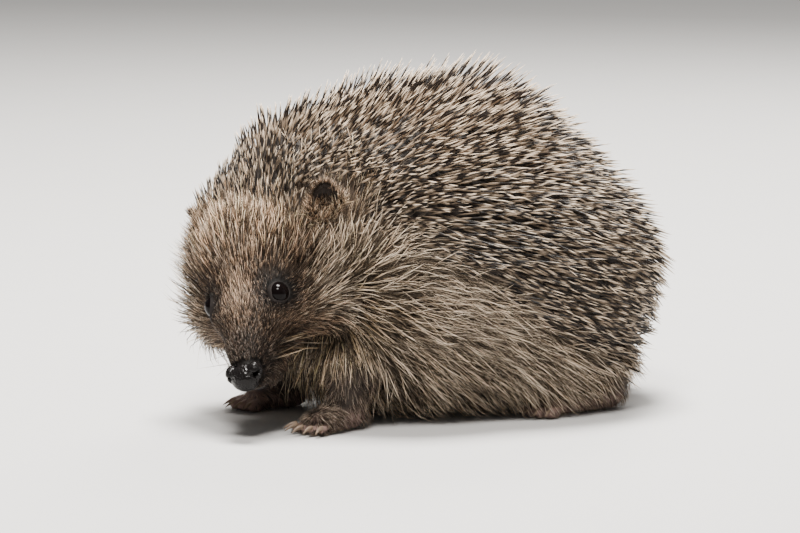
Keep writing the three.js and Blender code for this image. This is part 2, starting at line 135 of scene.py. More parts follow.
# ---- distance fields: negative inside the flesh --------------------------------------------------
def blend(a, b, k):
    """The smaller of two fields, rounded where they cross over a width k."""
    h = np.clip(0.5 + 0.5 * (b - a) / k, 0, 1)
    return b * (1 - h) + a * h - k * h * (1 - h)


def keep(a, b, k):
    """The larger of two fields, rounded in the same way."""
    return -blend(-a, -b, k)


def join(fields, k):
    return lambda p: reduce(lambda a, b: blend(a, b, k), [f(p) for f in fields])


def ellipsoid(centre, radii, axes=np.eye(3)):
    """Distance to an ellipsoid, to first order: how far out in units of the radii, over its slope."""
    centre, radii = np.asarray(centre, float), np.asarray(radii, float)

    def field(p):
        q = (p - centre) @ axes.T / radii
        far = np.linalg.norm(q, axis=-1)
        return far * (far - 1) / (np.linalg.norm(q / radii, axis=-1) + 1e-9)

    return field


def taper(start, start_radius, end, end_radius):
    """Distance to a round cone: from the nearest point of its axis, less the radius there."""
    start, run = np.asarray(start, float), np.subtract(end, start).astype(float)

    def field(p):
        t = np.clip((p - start) @ run / (run @ run), 0, 1)
        away = np.linalg.norm(p - start - t[..., None] * run, axis=-1)
        return away - (start_radius + t * (end_radius - start_radius))

    return field


BULK = join(
    [
        ellipsoid((2, 0, 55), (58, 46, 51)),
        ellipsoid((24, 0, 45), (39.5, 45, 45)),
        ellipsoid((-32, 0, 56), (35, 40, 46)),
        ellipsoid((-57, 2, 72), (25, 27, 27)),
    ],
    13,
)


def trunk(p):
    """Barrel, rump, chest and nape in one, with the belly flattened."""
    return keep(BULK(p), BELLY_Z - p[..., 2], 14)


def skull_parts():
    """The muzzle's cones, both cheeks, both brows over the eyes, and the jaw."""
    for (back0, up0, radius0), (back, up, radius) in zip(MUZZLE_LINE, MUZZLE_LINE[1:]):
        yield taper(on_head(back0, 0, up0), radius0, on_head(back, 0, up), radius)
    for side in (1, -1):
        yield ellipsoid(on_head(38, 13 * side, -3), (15, 11, 11), HEAD_AXES)
    for side in (1, -1):
        yield ellipsoid(on_head(30, 8.8 * side, 6.5), (10, 6.5, 6.5), HEAD_AXES)
    yield taper(on_head(12, 0, -5), 4.2, on_head(36, 0, -9), 9)
    yield taper(on_head(6, 0.3, -5.2), 4.1, on_head(12, 0.3, -5.6), 4.9)


skull = join(list(skull_parts()), 4.5)


def paw_axes(limb):
    """Directions of a paw on the floor: ahead, aside and up."""
    _, ankle, toe, _ = LIMBS[limb]
    ahead = unit(np.array([toe[0] - ankle[0], toe[1] - ankle[1], 0.0]))
    return ahead, np.array([-ahead[1], ahead[0], 0.0]), np.array([0.0, 0.0, 1.0])


def toes_of(limb):
    """For each toe: its root on the paw, its heading and its length."""
    ahead, aside, _ = paw_axes(limb)
    toe = np.array(LIMBS[limb][2], float)
    toe[2] = 2.2
    for spread in np.linspace(-1, 1, TOES):
        yield toe + 4.4 * spread * aside, unit(ahead + 0.42 * spread * aside), 6.5 - 2.2 * spread**2


def limb_fields(limb):
    hip, ankle, toe, thick = LIMBS[limb]
    leg = taper(hip, thick[0], ankle, thick[1])
    sole = taper((ankle[0], ankle[1], 6.1), 6.0, (toe[0], toe[1], 5.0), 4.9)

    def foot(p):
        return sole(p * [1, 1, 1.3])

    return [leg, foot]


def toe_fields(limb):
    up = np.array([0.0, 0.0, 1.0])
    for root, heading, length in toes_of(limb):
        axes = np.stack([heading, np.cross(up, heading), up])
        yield ellipsoid(root + 0.7 * length * heading, (length, 1.75, 2.3), axes)


limbs = join([field for limb in LIMBS for field in limb_fields(limb)], 3)
toes = join([field for limb in LIMBS for field in toe_fields(limb)], 0.6)
tail = taper(TAIL[0], TAIL[2][0], TAIL[1], TAIL[2][1])
torso_and_head = join([trunk, skull], 6)
mouth = join([taper(on_head(b0, s * l0, u0), 0.55, on_head(b, s * l, u), 0.55)
              for s in (1, -1) for (b0, l0, u0), (b, l, u) in zip(MOUTH_LINE, MOUTH_LINE[1:])], 0.3)


def body(p):
    """The whole animal without its toes, drawn in under the deep spines of the rump."""
    x, _, z = xyz(p)
    rump = RUMP_DEPTH * ramp(x, 6, 42) * ramp(z, 50, 82)
    return blend(blend(torso_and_head(p), limbs(p), 5), tail(p), 4) + rump


def on_the_head(p):
    """1 on the head, 0 on the trunk, and between them near the neck."""
    return ramp(trunk(p) - skull(p), -7, 5)


def flesh(p):
    """The skin: the body with toes and mouth, a fur's depth inside on the face, and flat soles."""
    depth = FUR_DEPTH * on_the_head(p)
    whole = blend(body(p), toes(p), 1.6) + depth
    whole = keep(keep(whole, -mouth(p), 0.8), -ear_hollows(p), 1.2)
    return keep(whole, SOLE_Z - p[..., 2], 0.5)


TETRA = np.array([[1, 1, 1], [1, -1, -1], [-1, 1, -1], [-1, -1, 1]], float)


def slope(field, p, e=0.25):
    """Gradient of a field from its values at the four corners of a small tetrahedron."""
    return sum(field(p + e * corner)[..., None] * corner for corner in TETRA) / (4 * e)


def settled(field, p, rounds=6):
    """Points moved to a field's surface along its slope."""
    for _ in range(rounds):
        g = slope(field, p)
        p = p - np.clip(field(p)[..., None], -1.5, 1.5) * g / (dot(g, g) + 1e-6)
    return p


def reach_of(field, centre, directions, limit=190.0):
    """How far each ray goes from an inner point until it leaves a field, in steps of part of the depth."""
    reach = np.zeros(len(directions))
    inside = np.ones(len(directions), bool)
    for _ in range(90):
        depth = -field(centre + reach[:, None] * directions)
        inside &= (depth > 0) & (reach < limit)
        reach = np.where(inside, reach + np.maximum(0.6 * depth, 0.04), reach)
    return np.minimum(reach, limit)


def nose_ball(p):
    """The pad's round front, and behind it a rounded wing at each side."""
    pad = ellipsoid(on_head(0.3, 0, -0.5), (4.7, 5.0, 4.5), HEAD_AXES)(p)
    for side in (1, -1):
        wing = ellipsoid(on_head(1.3, 4.3 * side, 0.9), (3.2, 2.4, 3.1), HEAD_AXES)(p)
        pad = blend(pad, wing, 0.7)
    return pad


def nostril(side):
    """A curved slit between the pad and its wing, with a hole at its middle that goes in and back."""
    slit = settled(nose_ball, np.array([on_head(-2.4, 2.9 * side, 3.0), on_head(-1.8, 4.7 * side, 2.3),
                                        on_head(-1.4, 5.4 * side, 0.5), on_head(-1.9, 5.0 * side, -1.3)]))
    radii = (0.3, 0.62, 0.75, 0.35)
    parts = [taper(slit[i], radii[i], slit[i + 1], radii[i + 1]) for i in range(3)]
    hole = (slit[1] + slit[2]) / 2
    return join([*parts, taper(hole, 1.0, hole + 2.4 * headward(-0.9, -0.35 * side, -0.2), 0.5)], 0.4)


NOSTRILS = [nostril(side) for side in (1, -1)]
GROOVE = taper(on_head(-4.95, 0, -3.4), 0.3, on_head(-5.0, 0, 1.6), 0.15)


def nose_field(p):
    """The pad and wings less the two nostrils and the groove between them."""
    hollow = reduce(np.minimum, [cut(p) for cut in NOSTRILS])
    return keep(keep(nose_ball(p), -hollow, 0.35), -GROOVE(p), 0.5)


# ---- eyes and ears: places and directions --------------------------------------------------------
EYE_INNER = on_head(28.2, 0, 2)
EYE_RADIUS = 3.7
EYE_SINK = 0.9  # how far the eyeballs lie deeper than the solids'


def eye_place(side):
    """Centre of an eyeball, and the way it looks."""
    outward = headward(0.16, 0.82 * side, 0.52)
    reach = reach_of(skull, EYE_INNER, outward[None])[0]
    return EYE_INNER + outward * (reach - 1.3), outward


EAR_RADII = np.array([3.0, 5.1, 7.8])  # thickness, width and height of an ear
EAR_ROOTS = {1: on_head(54, 27.5, 15.5), -1: on_head(63, -25, 10)}
EAR_RISES = {1: 1.8, -1: 0.3}  # the far ear lies deeper in the coat
EAR_TILTS = {1: headward(-0.25, 0.3, 0.85), -1: headward(-0.45, -0.3, 0.8)}


def ear_place(side):
    """Centre of an ear and its axes: the way it faces, its width and its height."""
    root = settled(torso_and_head, EAR_ROOTS[side][None], 12)[0]
    face = headward(0.75, 0.6 * side, 0.1)
    tall = flat(EAR_TILTS[side], face)
    return root + EAR_RISES[side] * tall, np.stack([face, np.cross(tall, face), tall])


def ear_hollows(p):
    """The room inside both ears, which goes a little way into the head."""
    fields = []
    for centre, axes in EARS.values():
        fields.append(ellipsoid(centre + 1.2 * axes[0] - 1.2 * axes[2], (3.8, 3.9, 6.7), axes)(p))
    return np.minimum(*fields)


EYES = {side: eye_place(side) for side in (1, -1)}
EARS = {side: ear_place(side) for side in (1, -1)}
SIDES = {1: "left", -1: "right"}


def middle_of(node):
    """The mean of a solid's corners, in metres."""
    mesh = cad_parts[node].data
    corners = np.empty(len(mesh.vertices) * 3)
    mesh.vertices.foreach_get("co", corners)
    loops = np.empty(len(mesh.loops), int)
    mesh.loops.foreach_get("vertex_index", loops)
    return corners.reshape(-1, 3)[loops].mean(0)


SHIFT = middle_of("eye_left") / MM - EYES[1][0]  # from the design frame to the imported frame
SHIFT[2] = 0.0


# ---- meshes from arrays --------------------------------------------------------------------------
def new_mesh(name, points, faces):
    """A smooth mesh from points in millimetres and index arrays, one for each number of corners."""
    corners = np.concatenate([f.ravel() for f in faces]).astype(np.int32)
    sizes = np.concatenate([np.full(len(f), f.shape[1]) for f in faces])
    starts = np.concatenate([[0], np.cumsum(sizes)[:-1]]).astype(np.int32)
    mesh = bpy.data.meshes.new(name)
    mesh.vertices.add(len(points))
    mesh.vertices.foreach_set("co", ((points + SHIFT) * MM).astype(np.float32).ravel())
    mesh.loops.add(len(corners))
    mesh.loops.foreach_set("vertex_index", corners)
    mesh.polygons.add(len(sizes))
    mesh.polygons.foreach_set("loop_start", starts)
    mesh.update(calc_edges=True)
    mesh.shade_smooth()
    return mesh


def store(mesh, name, values):
    """A number or a colour for each point of a mesh."""
    if values.ndim == 1:
        mesh.attributes.new(name, "FLOAT", "POINT").data.foreach_set("value", values.astype(np.float32))
        return
    colours = np.concatenate([values, np.ones((len(values), 1))], axis=1).astype(np.float32)
    mesh.attributes.new(name, "FLOAT_COLOR", "POINT").data.foreach_set("color", colours.ravel())


def place(name, mesh, material, slot, replaced=()):
    """An object for a finished mesh: it rides the body, has its finish, and stands for its solids."""
    piece = bpy.data.objects.new(name, mesh)
    bpy.context.scene.collection.objects.link(piece)
    mesh.materials.append(material)
    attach(piece, "root")
    if replaced:
        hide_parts(*replaced)
    return piece


def ball_grid(rows, columns):
    """Unit directions of a ball: a pole, rows of latitude with columns of longitude, and the other pole."""
    theta = np.pi * np.arange(1, rows)[:, None] / rows
    phi = 2 * np.pi * np.arange(columns)[None] / columns
    ring = np.stack([np.sin(theta) * np.cos(phi), np.sin(theta) * np.sin(phi),
                     np.cos(theta) * np.ones_like(phi)], axis=-1)
    return np.concatenate([[[0, 0, 1.0]], ring.reshape(-1, 3), [[0, 0, -1.0]]])


def ball_faces(rows, columns):
    """Faces over ball_grid: fans at the poles and quads between them, all outward."""
    j = np.arange(columns)
    nxt = (j + 1) % columns
    first = 1 + np.arange(rows - 2)[:, None] * columns
    quads = np.stack([first + j, first + columns + j, first + columns + nxt, first + nxt], axis=-1)
    end = 1 + (rows - 1) * columns
    cap = np.stack([np.zeros_like(j), 1 + j, 1 + nxt], axis=-1)
    base = np.stack([np.full_like(j, end), end - columns + nxt, end - columns + j], axis=-1)
    return [quads.reshape(-1, 4), cap, base]


def turned(grid, axes):
    """Directions given along three axes, in the design frame. The ball's pole is the first axis."""
    return grid[:, [2]] * axes[0] + grid[:, [0]] * axes[1] + grid[:, [1]] * axes[2]


def strand_faces(count, rings, sides):
    """Faces of many strands, each of some rings, a tip point and a closed base."""
    size = rings * sides + 1
    start = np.arange(count)[:, None, None] * size
    j = np.arange(sides)
    nxt = (j + 1) % sides
    row = np.arange(rings - 1)[:, None] * sides
    quads = np.stack([row + j, row + sides + j, row + sides + nxt, row + nxt], axis=-1).reshape(-1, 4)
    last = (rings - 1) * sides
    tips = np.stack([last + j, np.full_like(j, rings * sides), last + nxt], axis=-1)
    bases = start + j[None]
    return [(start + quads).reshape(-1, 4), (start + tips).reshape(-1, 3), bases.reshape(-1, sides)]


def strand_points(paths, outs, widths, thicks, profile, sides):
    """Rings round each path, ellipses of the given width and thickness times the profile, then the tip."""
    along = unit(np.gradient(paths, axis=1))[:, :-1]
    across = unit(np.cross(along, outs[:, None]))
    out = np.cross(across, along)
    angle = 2 * np.pi * np.arange(sides) / sides
    half = 0.5 * profile[:-1, None, None]
    spoke = (across[:, :, None] * np.cos(angle)[:, None] * (widths[:, None, None, None] * half)
             + out[:, :, None] * np.sin(angle)[:, None] * (thicks[:, None, None, None] * half))
    rings = paths[:, :-1, None] + spoke
    count = len(paths)
    return np.concatenate([rings.reshape(count, -1, 3), paths[:, -1:]], axis=1).reshape(-1, 3)


def unwrapped(roots, centre):
    """Each root's place on a flat sheet: its direction from an inner point, on an octahedron that is folded
    open, with the piece's own part of the sheet spread to the edges."""
    d = roots - centre
    d = d / np.abs(d).sum(1, keepdims=True)
    fold = (1 - np.abs(d[:, [1, 0]])) * np.where(d[:, :2] < 0, -1, 1)
    sheet = np.where(d[:, 2:] < 0, fold, d[:, :2])
    low, high = sheet.min(0), sheet.max(0)
    return 0.01 + 0.98 * (sheet - low) / (high - low + 1e-9)


PATCH = 0.003  # a strand's share of the sheet


def strands(name, growth, profile, sides, centre):
    """One mesh of many strands from their paths, with the numbers and colours that their finish reads."""
    paths = growth["paths"]
    count, steps = paths.shape[:2]
    rings = steps - 1
    points = strand_points(paths, growth["outs"], growth["widths"], growth["thicks"], profile, sides)
    mesh = new_mesh(name, points, strand_faces(count, rings, sides))
    share = np.append(np.repeat(growth["steps"][:-1], sides), 1.0)
    turn = np.append(np.tile(np.arange(sides) / (sides - 1), rings), 0.5)
    store(mesh, "along", np.tile(share, count))
    size = len(share)
    store(mesh, "seed", np.repeat(growth["seeds"], size))
    store(mesh, "marking", np.repeat(growth["markings"], size, axis=0))
    patch = np.stack([turn - 0.5, share - 0.5], axis=-1) * PATCH
    sheet = (unwrapped(growth["roots"], centre)[:, None] + patch).reshape(-1, 2)
    loops = np.empty(len(mesh.loops), np.int32)
    mesh.loops.foreach_get("vertex_index", loops)
    mesh.uv_layers.new(name="OFBake").data.foreach_set("uv", sheet[loops].astype(np.float32).ravel())
    return mesh


# ---- shader maths --------------------------------------------------------------------------------
def plug(tree, slot, value):
    """Links a socket, or sets a plain value."""
    if isinstance(value, Value):
        value = value.socket
    if isinstance(value, bpy.types.NodeSocket):
        tree.links.new(value, slot)
    elif hasattr(slot.default_value, "__len__") and not hasattr(value, "__len__"):
        slot.default_value = (value,) * len(slot.default_value)
    else:
        slot.default_value = (*value, 1.0) if slot.type == "RGBA" and len(value) == 3 else value


class Value:
    """A number on which + - * and ** add Math nodes."""

    def __init__(self, tree, socket):
        self.tree, self.socket = tree, socket

    def _math(self, operation, first, second):
        node = self.tree.nodes.new("ShaderNodeMath")
        node.operation = operation
        plug(self.tree, node.inputs[0], first)
        plug(self.tree, node.inputs[1], second)
        return Value(self.tree, node.outputs[0])

    def __add__(self, other):
        return self._math("ADD", self, other)

    def __sub__(self, other):
        return self._math("SUBTRACT", self, other)

    def __rsub__(self, other):
        return self._math("SUBTRACT", other, self)

    def __mul__(self, other):
        return self._math("MULTIPLY", self, other)

    def __pow__(self, other):
        return self._math("POWER", self, other)

    __radd__ = __add__
    __rmul__ = __mul__


class Finish:
    """A material and its shader, with one method that adds any other node."""

    def __init__(self, name, **constants):
        self.material = bpy.data.materials.new(name)
        self.material.use_nodes = True
        self.tree = self.material.node_tree
        self.shader = self.tree.nodes["Principled BSDF"]
        for socket, value in constants.items():
            self.set(socket.replace("_", " ").title().replace("Ior", "IOR"), value)

    def set(self, socket, value):
        plug(self.tree, self.shader.inputs[socket], value)

    def node(self, kind, settings=None, values=None, output=0):
        """Adds a node, with its settings first and then its sockets, and gives one of its outputs."""
        node = self.tree.nodes.new(kind)
        for key, setting in (settings or {}).items():
            if key == "stops":
                for i, (position, colour) in enumerate(setting):
                    stops = node.color_ramp.elements
                    stop = stops[i] if i < 2 else stops.new(position)
                    stop.position, stop.color = position, (*colour, 1.0)
            else:
                setattr(node, key, setting)
        for key, value in (values or {}).items():
            plug(self.tree, node.inputs[key], value)
        return Value(self.tree, node.outputs[output])

    def number(self, name):
        return self.node("ShaderNodeAttribute", {"attribute_name": name}, output="Fac")

    def colour(self, name):
        return self.node("ShaderNodeAttribute", {"attribute_name": name}, output="Color")

    def place(self):
        return self.node("ShaderNodeTexCoord", output="Object")

    def noise(self, scale, detail=3.0):
        values = {"Vector": self.place(), "Scale": scale, "Detail": detail, "Roughness": 0.55}
        return self.node("ShaderNodeTexNoise", None, values)

    def eased(self, value, start, end):
        """Smooth step of a number from 0 at start to 1 at end."""
        settings = {"interpolation_type": "SMOOTHSTEP"}
        values = {"Value": value, "From Min": start, "From Max": end}
        return self.node("ShaderNodeMapRange", settings, values)

    def mixed(self, share, first, second):
        """The first colour where the share is 0, and the second where it is 1."""
        values = {0: share, 6: first, 7: second}
        return self.node("ShaderNodeMix", {"data_type": "RGBA"}, values, output=2)

    def scaled(self, colour, amount):
        """A colour times a number."""
        return self.node("ShaderNodeVectorMath", {"operation": "SCALE"}, {0: colour, "Scale": amount})

    def bump(self, height, strength, distance):
        values = {"Height": height, "Strength": strength, "Distance": distance}
        self.set("Normal", self.node("ShaderNodeBump", None, values))


# ---- what a user would change --------------------------------------------------------------------
def length(name, description, default):
    return FloatProperty(name=name, description=description, default=default, min=0, unit="LENGTH",
                         subtype="DISTANCE", precision=5)


def share(name, description, default):
    return FloatProperty(name=name, description=description, default=default, min=0, max=4,
                         subtype="FACTOR")


def tint(name, description, default):
    return FloatVectorProperty(name=name, description=description, default=default, size=3, min=0, max=1,
                               subtype="COLOR")


class HedgehogSpines(bpy.types.PropertyGroup):
    reach: length("Length", "Length of a spine outside the skin", 0.0175)
    thick: length("Thickness", "Thickness of a spine at its middle", 0.00078)
    spacing: length("Spacing", "Least distance between two roots", 0.0017)
    shaft: tint("Shaft", "Colour of the lower part", (0.55, 0.42, 0.305))
    band: tint("Band", "Colour of the dark band", (0.012, 0.007, 0.005))
    tip: tint("Tip", "Colour of the pale end", (0.88, 0.70, 0.52))


class HedgehogFur(bpy.types.PropertyGroup):
    amount: share("Amount", "Share of the full number of hairs", 1.0)
    thick: length("Thickness", "Thickness of a flank hair", 0.00027)
    mask: tint("Mask", "Round the eyes and down the muzzle", (0.036, 0.025, 0.020))
    brow: tint("Brow", "Long hair of the forehead", (0.52, 0.315, 0.18))
    cheek: tint("Cheek", "Hair of the cheeks", (0.35, 0.225, 0.145))
    collar: tint("Collar", "Hair behind the cheeks and round the ears", (0.65, 0.42, 0.25))
    flank: tint("Flank", "Long hair of the flanks", (0.86, 0.63, 0.43))
    throat: tint("Throat", "Hair under the jaw", (0.56, 0.38, 0.20))
    belly: tint("Belly", "Hair of the belly", (0.42, 0.30, 0.19))
    limb: tint("Limbs", "Short hair of the legs", (0.34, 0.25, 0.19))


class HedgehogSkin(bpy.types.PropertyGroup):
    # painted shade: near black, for the shade deep among the spines; it also fills the ear hollows
    back: tint("Back", "Skin between the spines", (0.012, 0.008, 0.006))
    paw: tint("Paws", "Bare skin of the paws and the tail", (0.19, 0.125, 0.105))
    lid: tint("Eyelids", "Bare rim of the eyes", (0.016, 0.013, 0.012))
    ear: tint("Ears", "Skin of the ears", (0.016, 0.011, 0.009))
    claw: tint("Claws", "Horn of the claws", (0.19, 0.135, 0.095))
    nose: tint("Nose", "Bare skin of the nose", (0.0035, 0.003, 0.003))
    eye: tint("Eyes", "The eyeballs", (0.003, 0.002, 0.002))


class HedgehogStage(bpy.types.PropertyGroup):
    floor: tint("Floor", "Colour of the floor", (0.56, 0.555, 0.55))
    lens: FloatProperty(name="Lens", description="Focal length in millimetres", default=200.0, min=20)
    turn: FloatProperty(name="Turn", description="Camera's angle round the animal", unit="ROTATION",
                        default=math.radians(-28))
    height: FloatProperty(name="Height", description="Camera's angle above the floor", unit="ROTATION",
                          default=math.radians(8))
    light: share("Light", "Strength of all lights", 1.5)


# ---- the coat's rules: where it grows, how it lies, how long and which colour it is --------------
EDGE_TOP, EDGE_DROP = 74, 58  # the edge between spines and flank hair: height at the neck, and its fall
EDGE_FROM, EDGE_TO = -68, 66  # where that fall begins and ends along the body
EDGE_RUN = unit(np.array([1.0, 0.0, -0.42]))  # the way the edge falls
BARE_EYE = 3.85  # no hair grows nearer to an eyeball's centre
MUZZLE_HAIR, FLANK_HAIR, LEG_HAIR = 1.7, 23, 5.0  # lengths
BRIDGE_HAIR, BROW_HAIR, HAIRLINE_HAIR = 2.2, 6.0, 5.0  # added to the muzzle's length, one after the other
RUFF_HAIR, FAR_RUFF_HAIR, CHIN_HAIR = 8.0, 4.5, 7.5  # added at the sides of the face and on the chin
PARTINGS = {side: on_head(33, 21 * side, -8) for side in (1, -1)}  # the flank's hair fans out from here


def edge_height(x):
    """Height of the edge between spines and flank hair: high behind the ear, low at the rump."""
    return EDGE_TOP - EDGE_DROP * ramp(x, EDGE_FROM, EDGE_TO)


def above_edge(p):
    x, _, z = xyz(p)
    return z - edge_height(x)


def eye_distance(p):
    return np.minimum(*(np.linalg.norm(p - EYES[side][0], axis=-1) for side in (1, -1)))


def ear_distance(p):
    return np.minimum(*(np.linalg.norm(p - EARS[side][0], axis=-1) for side in (1, -1)))


def crown(p):
    """How far a point of the head is behind the hairline, in millimetres: the spines' arc over the brow."""
    back, left, up = head_coords(p)
    arc = 0.01 * left**2 + np.maximum(9 - 0.35 * np.abs(left), 0)
    return np.minimum(up - 17 - arc + 0.5 * np.maximum(back - 52, 0), back - 40 - arc)


def limb_share(p):
    """1 on the legs and paws, 0 on the body."""
    return ramp(torso_and_head(p) - limbs(p), 0, 5)


def spine_share(p):
    """How thickly spines grow: over the back from a little below the edge upwards, and on the crown. They
    keep off the ears, the legs and the tail."""
    x, _, z = xyz(p)
    head = on_the_head(p)
    over = above_edge(p) - 9 * ramp(x, 34, 52)
    back_edge = ramp(over, -8, -1)
    grown = back_edge * (1 - head) + ramp(crown(p), -2, 2) * head
    return grown * ramp(ear_distance(p), 9.5, 15) * (1 - limb_share(p)) * (z > 12) * (tail(p) > 5)


def hair_share(p):
    """How thickly hair grows: most on the face, some round the ears, none among the back's spines."""
    x, _, z = xyz(p)
    back = head_coords(p)[0]
    head = on_the_head(p)
    below = ramp(edge_height(x) - z + 12 * ramp(x, 28, 50), -1, 12)
    round_ears = 1 - ramp(ear_distance(p), 9, 24)
    face = 0.95 + 3.0 * ramp(36 - back, 0, 16)
    face = face * (1 - 0.93 * ramp(crown(p), -2, 5))
    trunk_hair = 0.42 * below + 0.42 * round_ears * (1 - below)
    grown = trunk_hair * (1 - head) + face * head
    grown = grown * (1 + 0.6 * limb_share(p)) * ramp(z, 1.0, 6)
    return grown * (eye_distance(p) > BARE_EYE) * (nose_field(p) > 0.25) * (ear_hollows(p) > 0.4)


def hair_lengths(p):
    """Length of the hair: shortest on the muzzle and round the eyes, longest on the flanks. It gets shorter
    towards the ears, the hairline, the edge of the spines and the tail."""
    x, _, z = xyz(p)
    back, left, up = head_coords(p)
    head, limb = on_the_head(p), limb_share(p)
    face = MUZZLE_HAIR + BRIDGE_HAIR * ramp(back, 6, 24) + BROW_HAIR * ramp(back, 24, 40)
    face = face + HAIRLINE_HAIR * ramp(up, 14, 25) * ramp(back, 26, 40)
    low = 1 - 0.85 * ramp(up, -4, 8)
    face = face + RUFF_HAIR * ramp(np.abs(left), 14, 21) * ramp(back, 18, 32) * low
    face = face + FAR_RUFF_HAIR * ramp(-left, 13, 20) * ramp(back, 24, 38) * (1 - ramp(up, 8, 16))
    face = face * (0.6 + 0.4 * ramp(ear_distance(p), 7, 18)) * (1 - 0.35 * ramp(crown(p), -9, -1))
    face = face * (0.34 + 0.66 * ramp(eye_distance(p), 4, 13))
    face = face + CHIN_HAIR * ramp(-up, 2, 6) * ramp(back, 2, 8)
    flank = FLANK_HAIR - 6 * ramp(-x, 48, 66) - 5 * (1 - ramp(z, 9, 18)) - 4 * ramp(x, 38, 58)
    near_edge = 1 - 0.3 * ramp(above_edge(p), -22, -4)
    flank = flank * (0.45 + 0.55 * ramp(ear_distance(p), 7, 22)) * near_edge
    whole = (face * head + flank * (1 - head)) * (1 - limb) + LEG_HAIR * limb
    return whole * (0.3 + 0.7 * ramp(tail(p), 1, 7))


def hair_lifts(p):
    """Angle at which hair leaves the skin: least on the muzzle and near the ears, most at the sides of the
    face and along the belly."""
    back, left, _ = head_coords(p)
    head, limb = on_the_head(p), limb_share(p)
    face = 0.26 + 0.12 * ramp(back, 22, 42) + 0.45 * ramp(np.abs(left), 14, 22) * ramp(back, 18, 32)
    face = face * (1 - 0.4 * ramp(14 - ear_distance(p), 0, 8))
    flank = 0.42 + 0.35 * (1 - ramp(p[..., 2], 14, 30))
    return (face * head + flank * (1 - head)) * (1 - limb) + 0.4 * limb


def hair_lie(p, normal):
    """The way hair lies on the skin. On the face it leaves the nose and parts round the eyes. Behind the
    cheeks it fans out from a point low on each cheek, sinks a little, and turns along the edge near the
    spines. On the legs it goes down."""
    x, y, z = xyz(p)
    back, left, up = head_coords(p)
    head, limb = ramp(trunk(p) - skull(p), -12, 6), limb_share(p)
    source = 12 * ramp(back, 4, 26)
    face = -(back - source)[..., None] * FORWARD + left[..., None] * LEFT + (up + 2)[..., None] * UP
    face = unit(face)
    for centre, _ in EYES.values():
        away = p - centre
        far = np.linalg.norm(away, axis=-1, keepdims=True)
        face = face + 1.3 * away / far * np.exp(-((far / 6.5) ** 2))
    chin = 0.9 * ramp(-up, 1, 5) * ramp(18 - back, 0, 8)
    face[..., 2] -= 0.9 * ramp(-up, -1, 9) * ramp(back, 5, 20) + chin
    fan = np.zeros(p.shape)
    for parting in PARTINGS.values():
        away = p - parting
        far = np.linalg.norm(away, axis=-1, keepdims=True)
        fan = fan + away / far * np.exp(-far / 14)
    fan = unit(fan)
    high = 0.85 * ramp(above_edge(p), -30, -7) * ramp(x, -50, -34)
    fan = mix(fan, EDGE_RUN, high)
    fan[..., 2] -= 0.16 + 0.2 * ramp(30 - z, 0, 15) + 0.75 * ramp(x, 38, 58)
    leg = np.stack([np.full_like(up, 0.25), 0.1 * np.sign(y), np.full_like(up, -1)], axis=-1)
    lie = mix(unit(fan), unit(face), head)
    return flat(mix(lie, unit(leg), limb), normal)


def spine_lie(p, normal):
    """The way spines sweep: from the brow over the back to the rump, and falling away down the flanks. Low
    on the neck they turn with the hair."""
    x, y, z = xyz(p)
    head = on_the_head(p)
    side = 0.45 * np.clip(y / 40, -1, 1)
    fall = 0.08 + 0.5 * (1 - np.clip(z / 105, 0, 1))
    back = unit(np.stack([np.ones_like(fall), side, -fall], axis=-1))
    neck = 0.6 * (1 - ramp(x, -62, -30)) * ramp(92 - z, 0, 20)
    back = mix(back, hair_lie(p, normal), neck)
    return flat(mix(back, unit(-FORWARD + 0.35 * UP)[None], head), normal)


def face_mask(p):
    """How dark the face is: a stripe from each eye to the nose, rings round the eyes, the muzzle's end."""
    back, left, _ = head_coords(p)
    stripe = np.exp(-(((np.abs(left) - 6.4 - 0.12 * (back - 12)) / 4.0) ** 2)) * ramp(35 - back, 0, 9)
    around = 1 - ramp(eye_distance(p), 5.0, 11.0)
    muzzle = ramp(23 - back, 0, 15)
    return np.clip(np.maximum.reduce([0.92 * stripe, 0.96 * around, 0.9 * muzzle]), 0, 1)


def mottling(p):
    """Soft patches, from waves that cross each other: between about -2 and 2."""
    broad = np.sin(0.42 * p @ [1, 0.6, -0.4] + 1.3) * np.sin(0.37 * p @ [-0.3, 0.8, 1.0])
    return broad + np.sin(0.9 * p @ [0.5, -0.4, 0.8]) * np.sin(0.8 * p @ [0.9, 0.7, -0.1])


def skin_colours(p, fur):
    """Markings of skin and hair alike, from the place on the body."""
    x, _, z = xyz(p)
    back, left, up = head_coords(p)
    head, limb = on_the_head(p), limb_share(p)
    colour = np.broadcast_to(np.array(fur.flank), p.shape)
    colour = mix(colour, fur.throat, ramp(-x, 46, 60) * (1 - ramp(z, 44, 62)))
    colour = mix(colour, fur.belly, 1 - ramp(z, 11, 20))
    colour = mix(colour, fur.collar, (1 - ramp(ear_distance(p), 12, 28)) * ramp(z, 40, 60))
    face = np.broadcast_to(np.array(fur.brow), p.shape)
    at_side = ramp(np.abs(left) - 0.35 * up, 7, 15) * ramp(44 - back, -6, 8)
    face = mix(face, fur.cheek, np.maximum(at_side, 0.75 * ramp(44 - back, 0, 14)))
    face = mix(face, fur.flank, ramp(np.abs(left), 16, 23) * ramp(14 - up, 0, 10))
    face = mix(face, fur.collar, ramp(back, 40, 50) * ramp(12 - up, 0, 10))
    face = mix(face, fur.throat, ramp(-up, 5, 13) * ramp(back, 12, 30))
    face = mix(face, fur.mask, face_mask(p))
    colour = mix(colour, face, head)
    return mix(colour, fur.limb, limb) * (1 + 0.17 * mottling(p))[..., None]


# ---- growing the coat ----------------------------------------------------------------------------
SKIN = {}  # the skin's points and triangles in millimetres, once it is made
GRID_CELLS = 4096  # more cells than the body has along any side
BATCH = 4096  # points that are compared with all guides at once
ROOT_DEPTH, HAIR_FLOOR = 0.5, 0.6  # of hair: how deep its roots lie, and how near it comes to the floor
INERTIA = 2.2  # how much a hair keeps to its heading


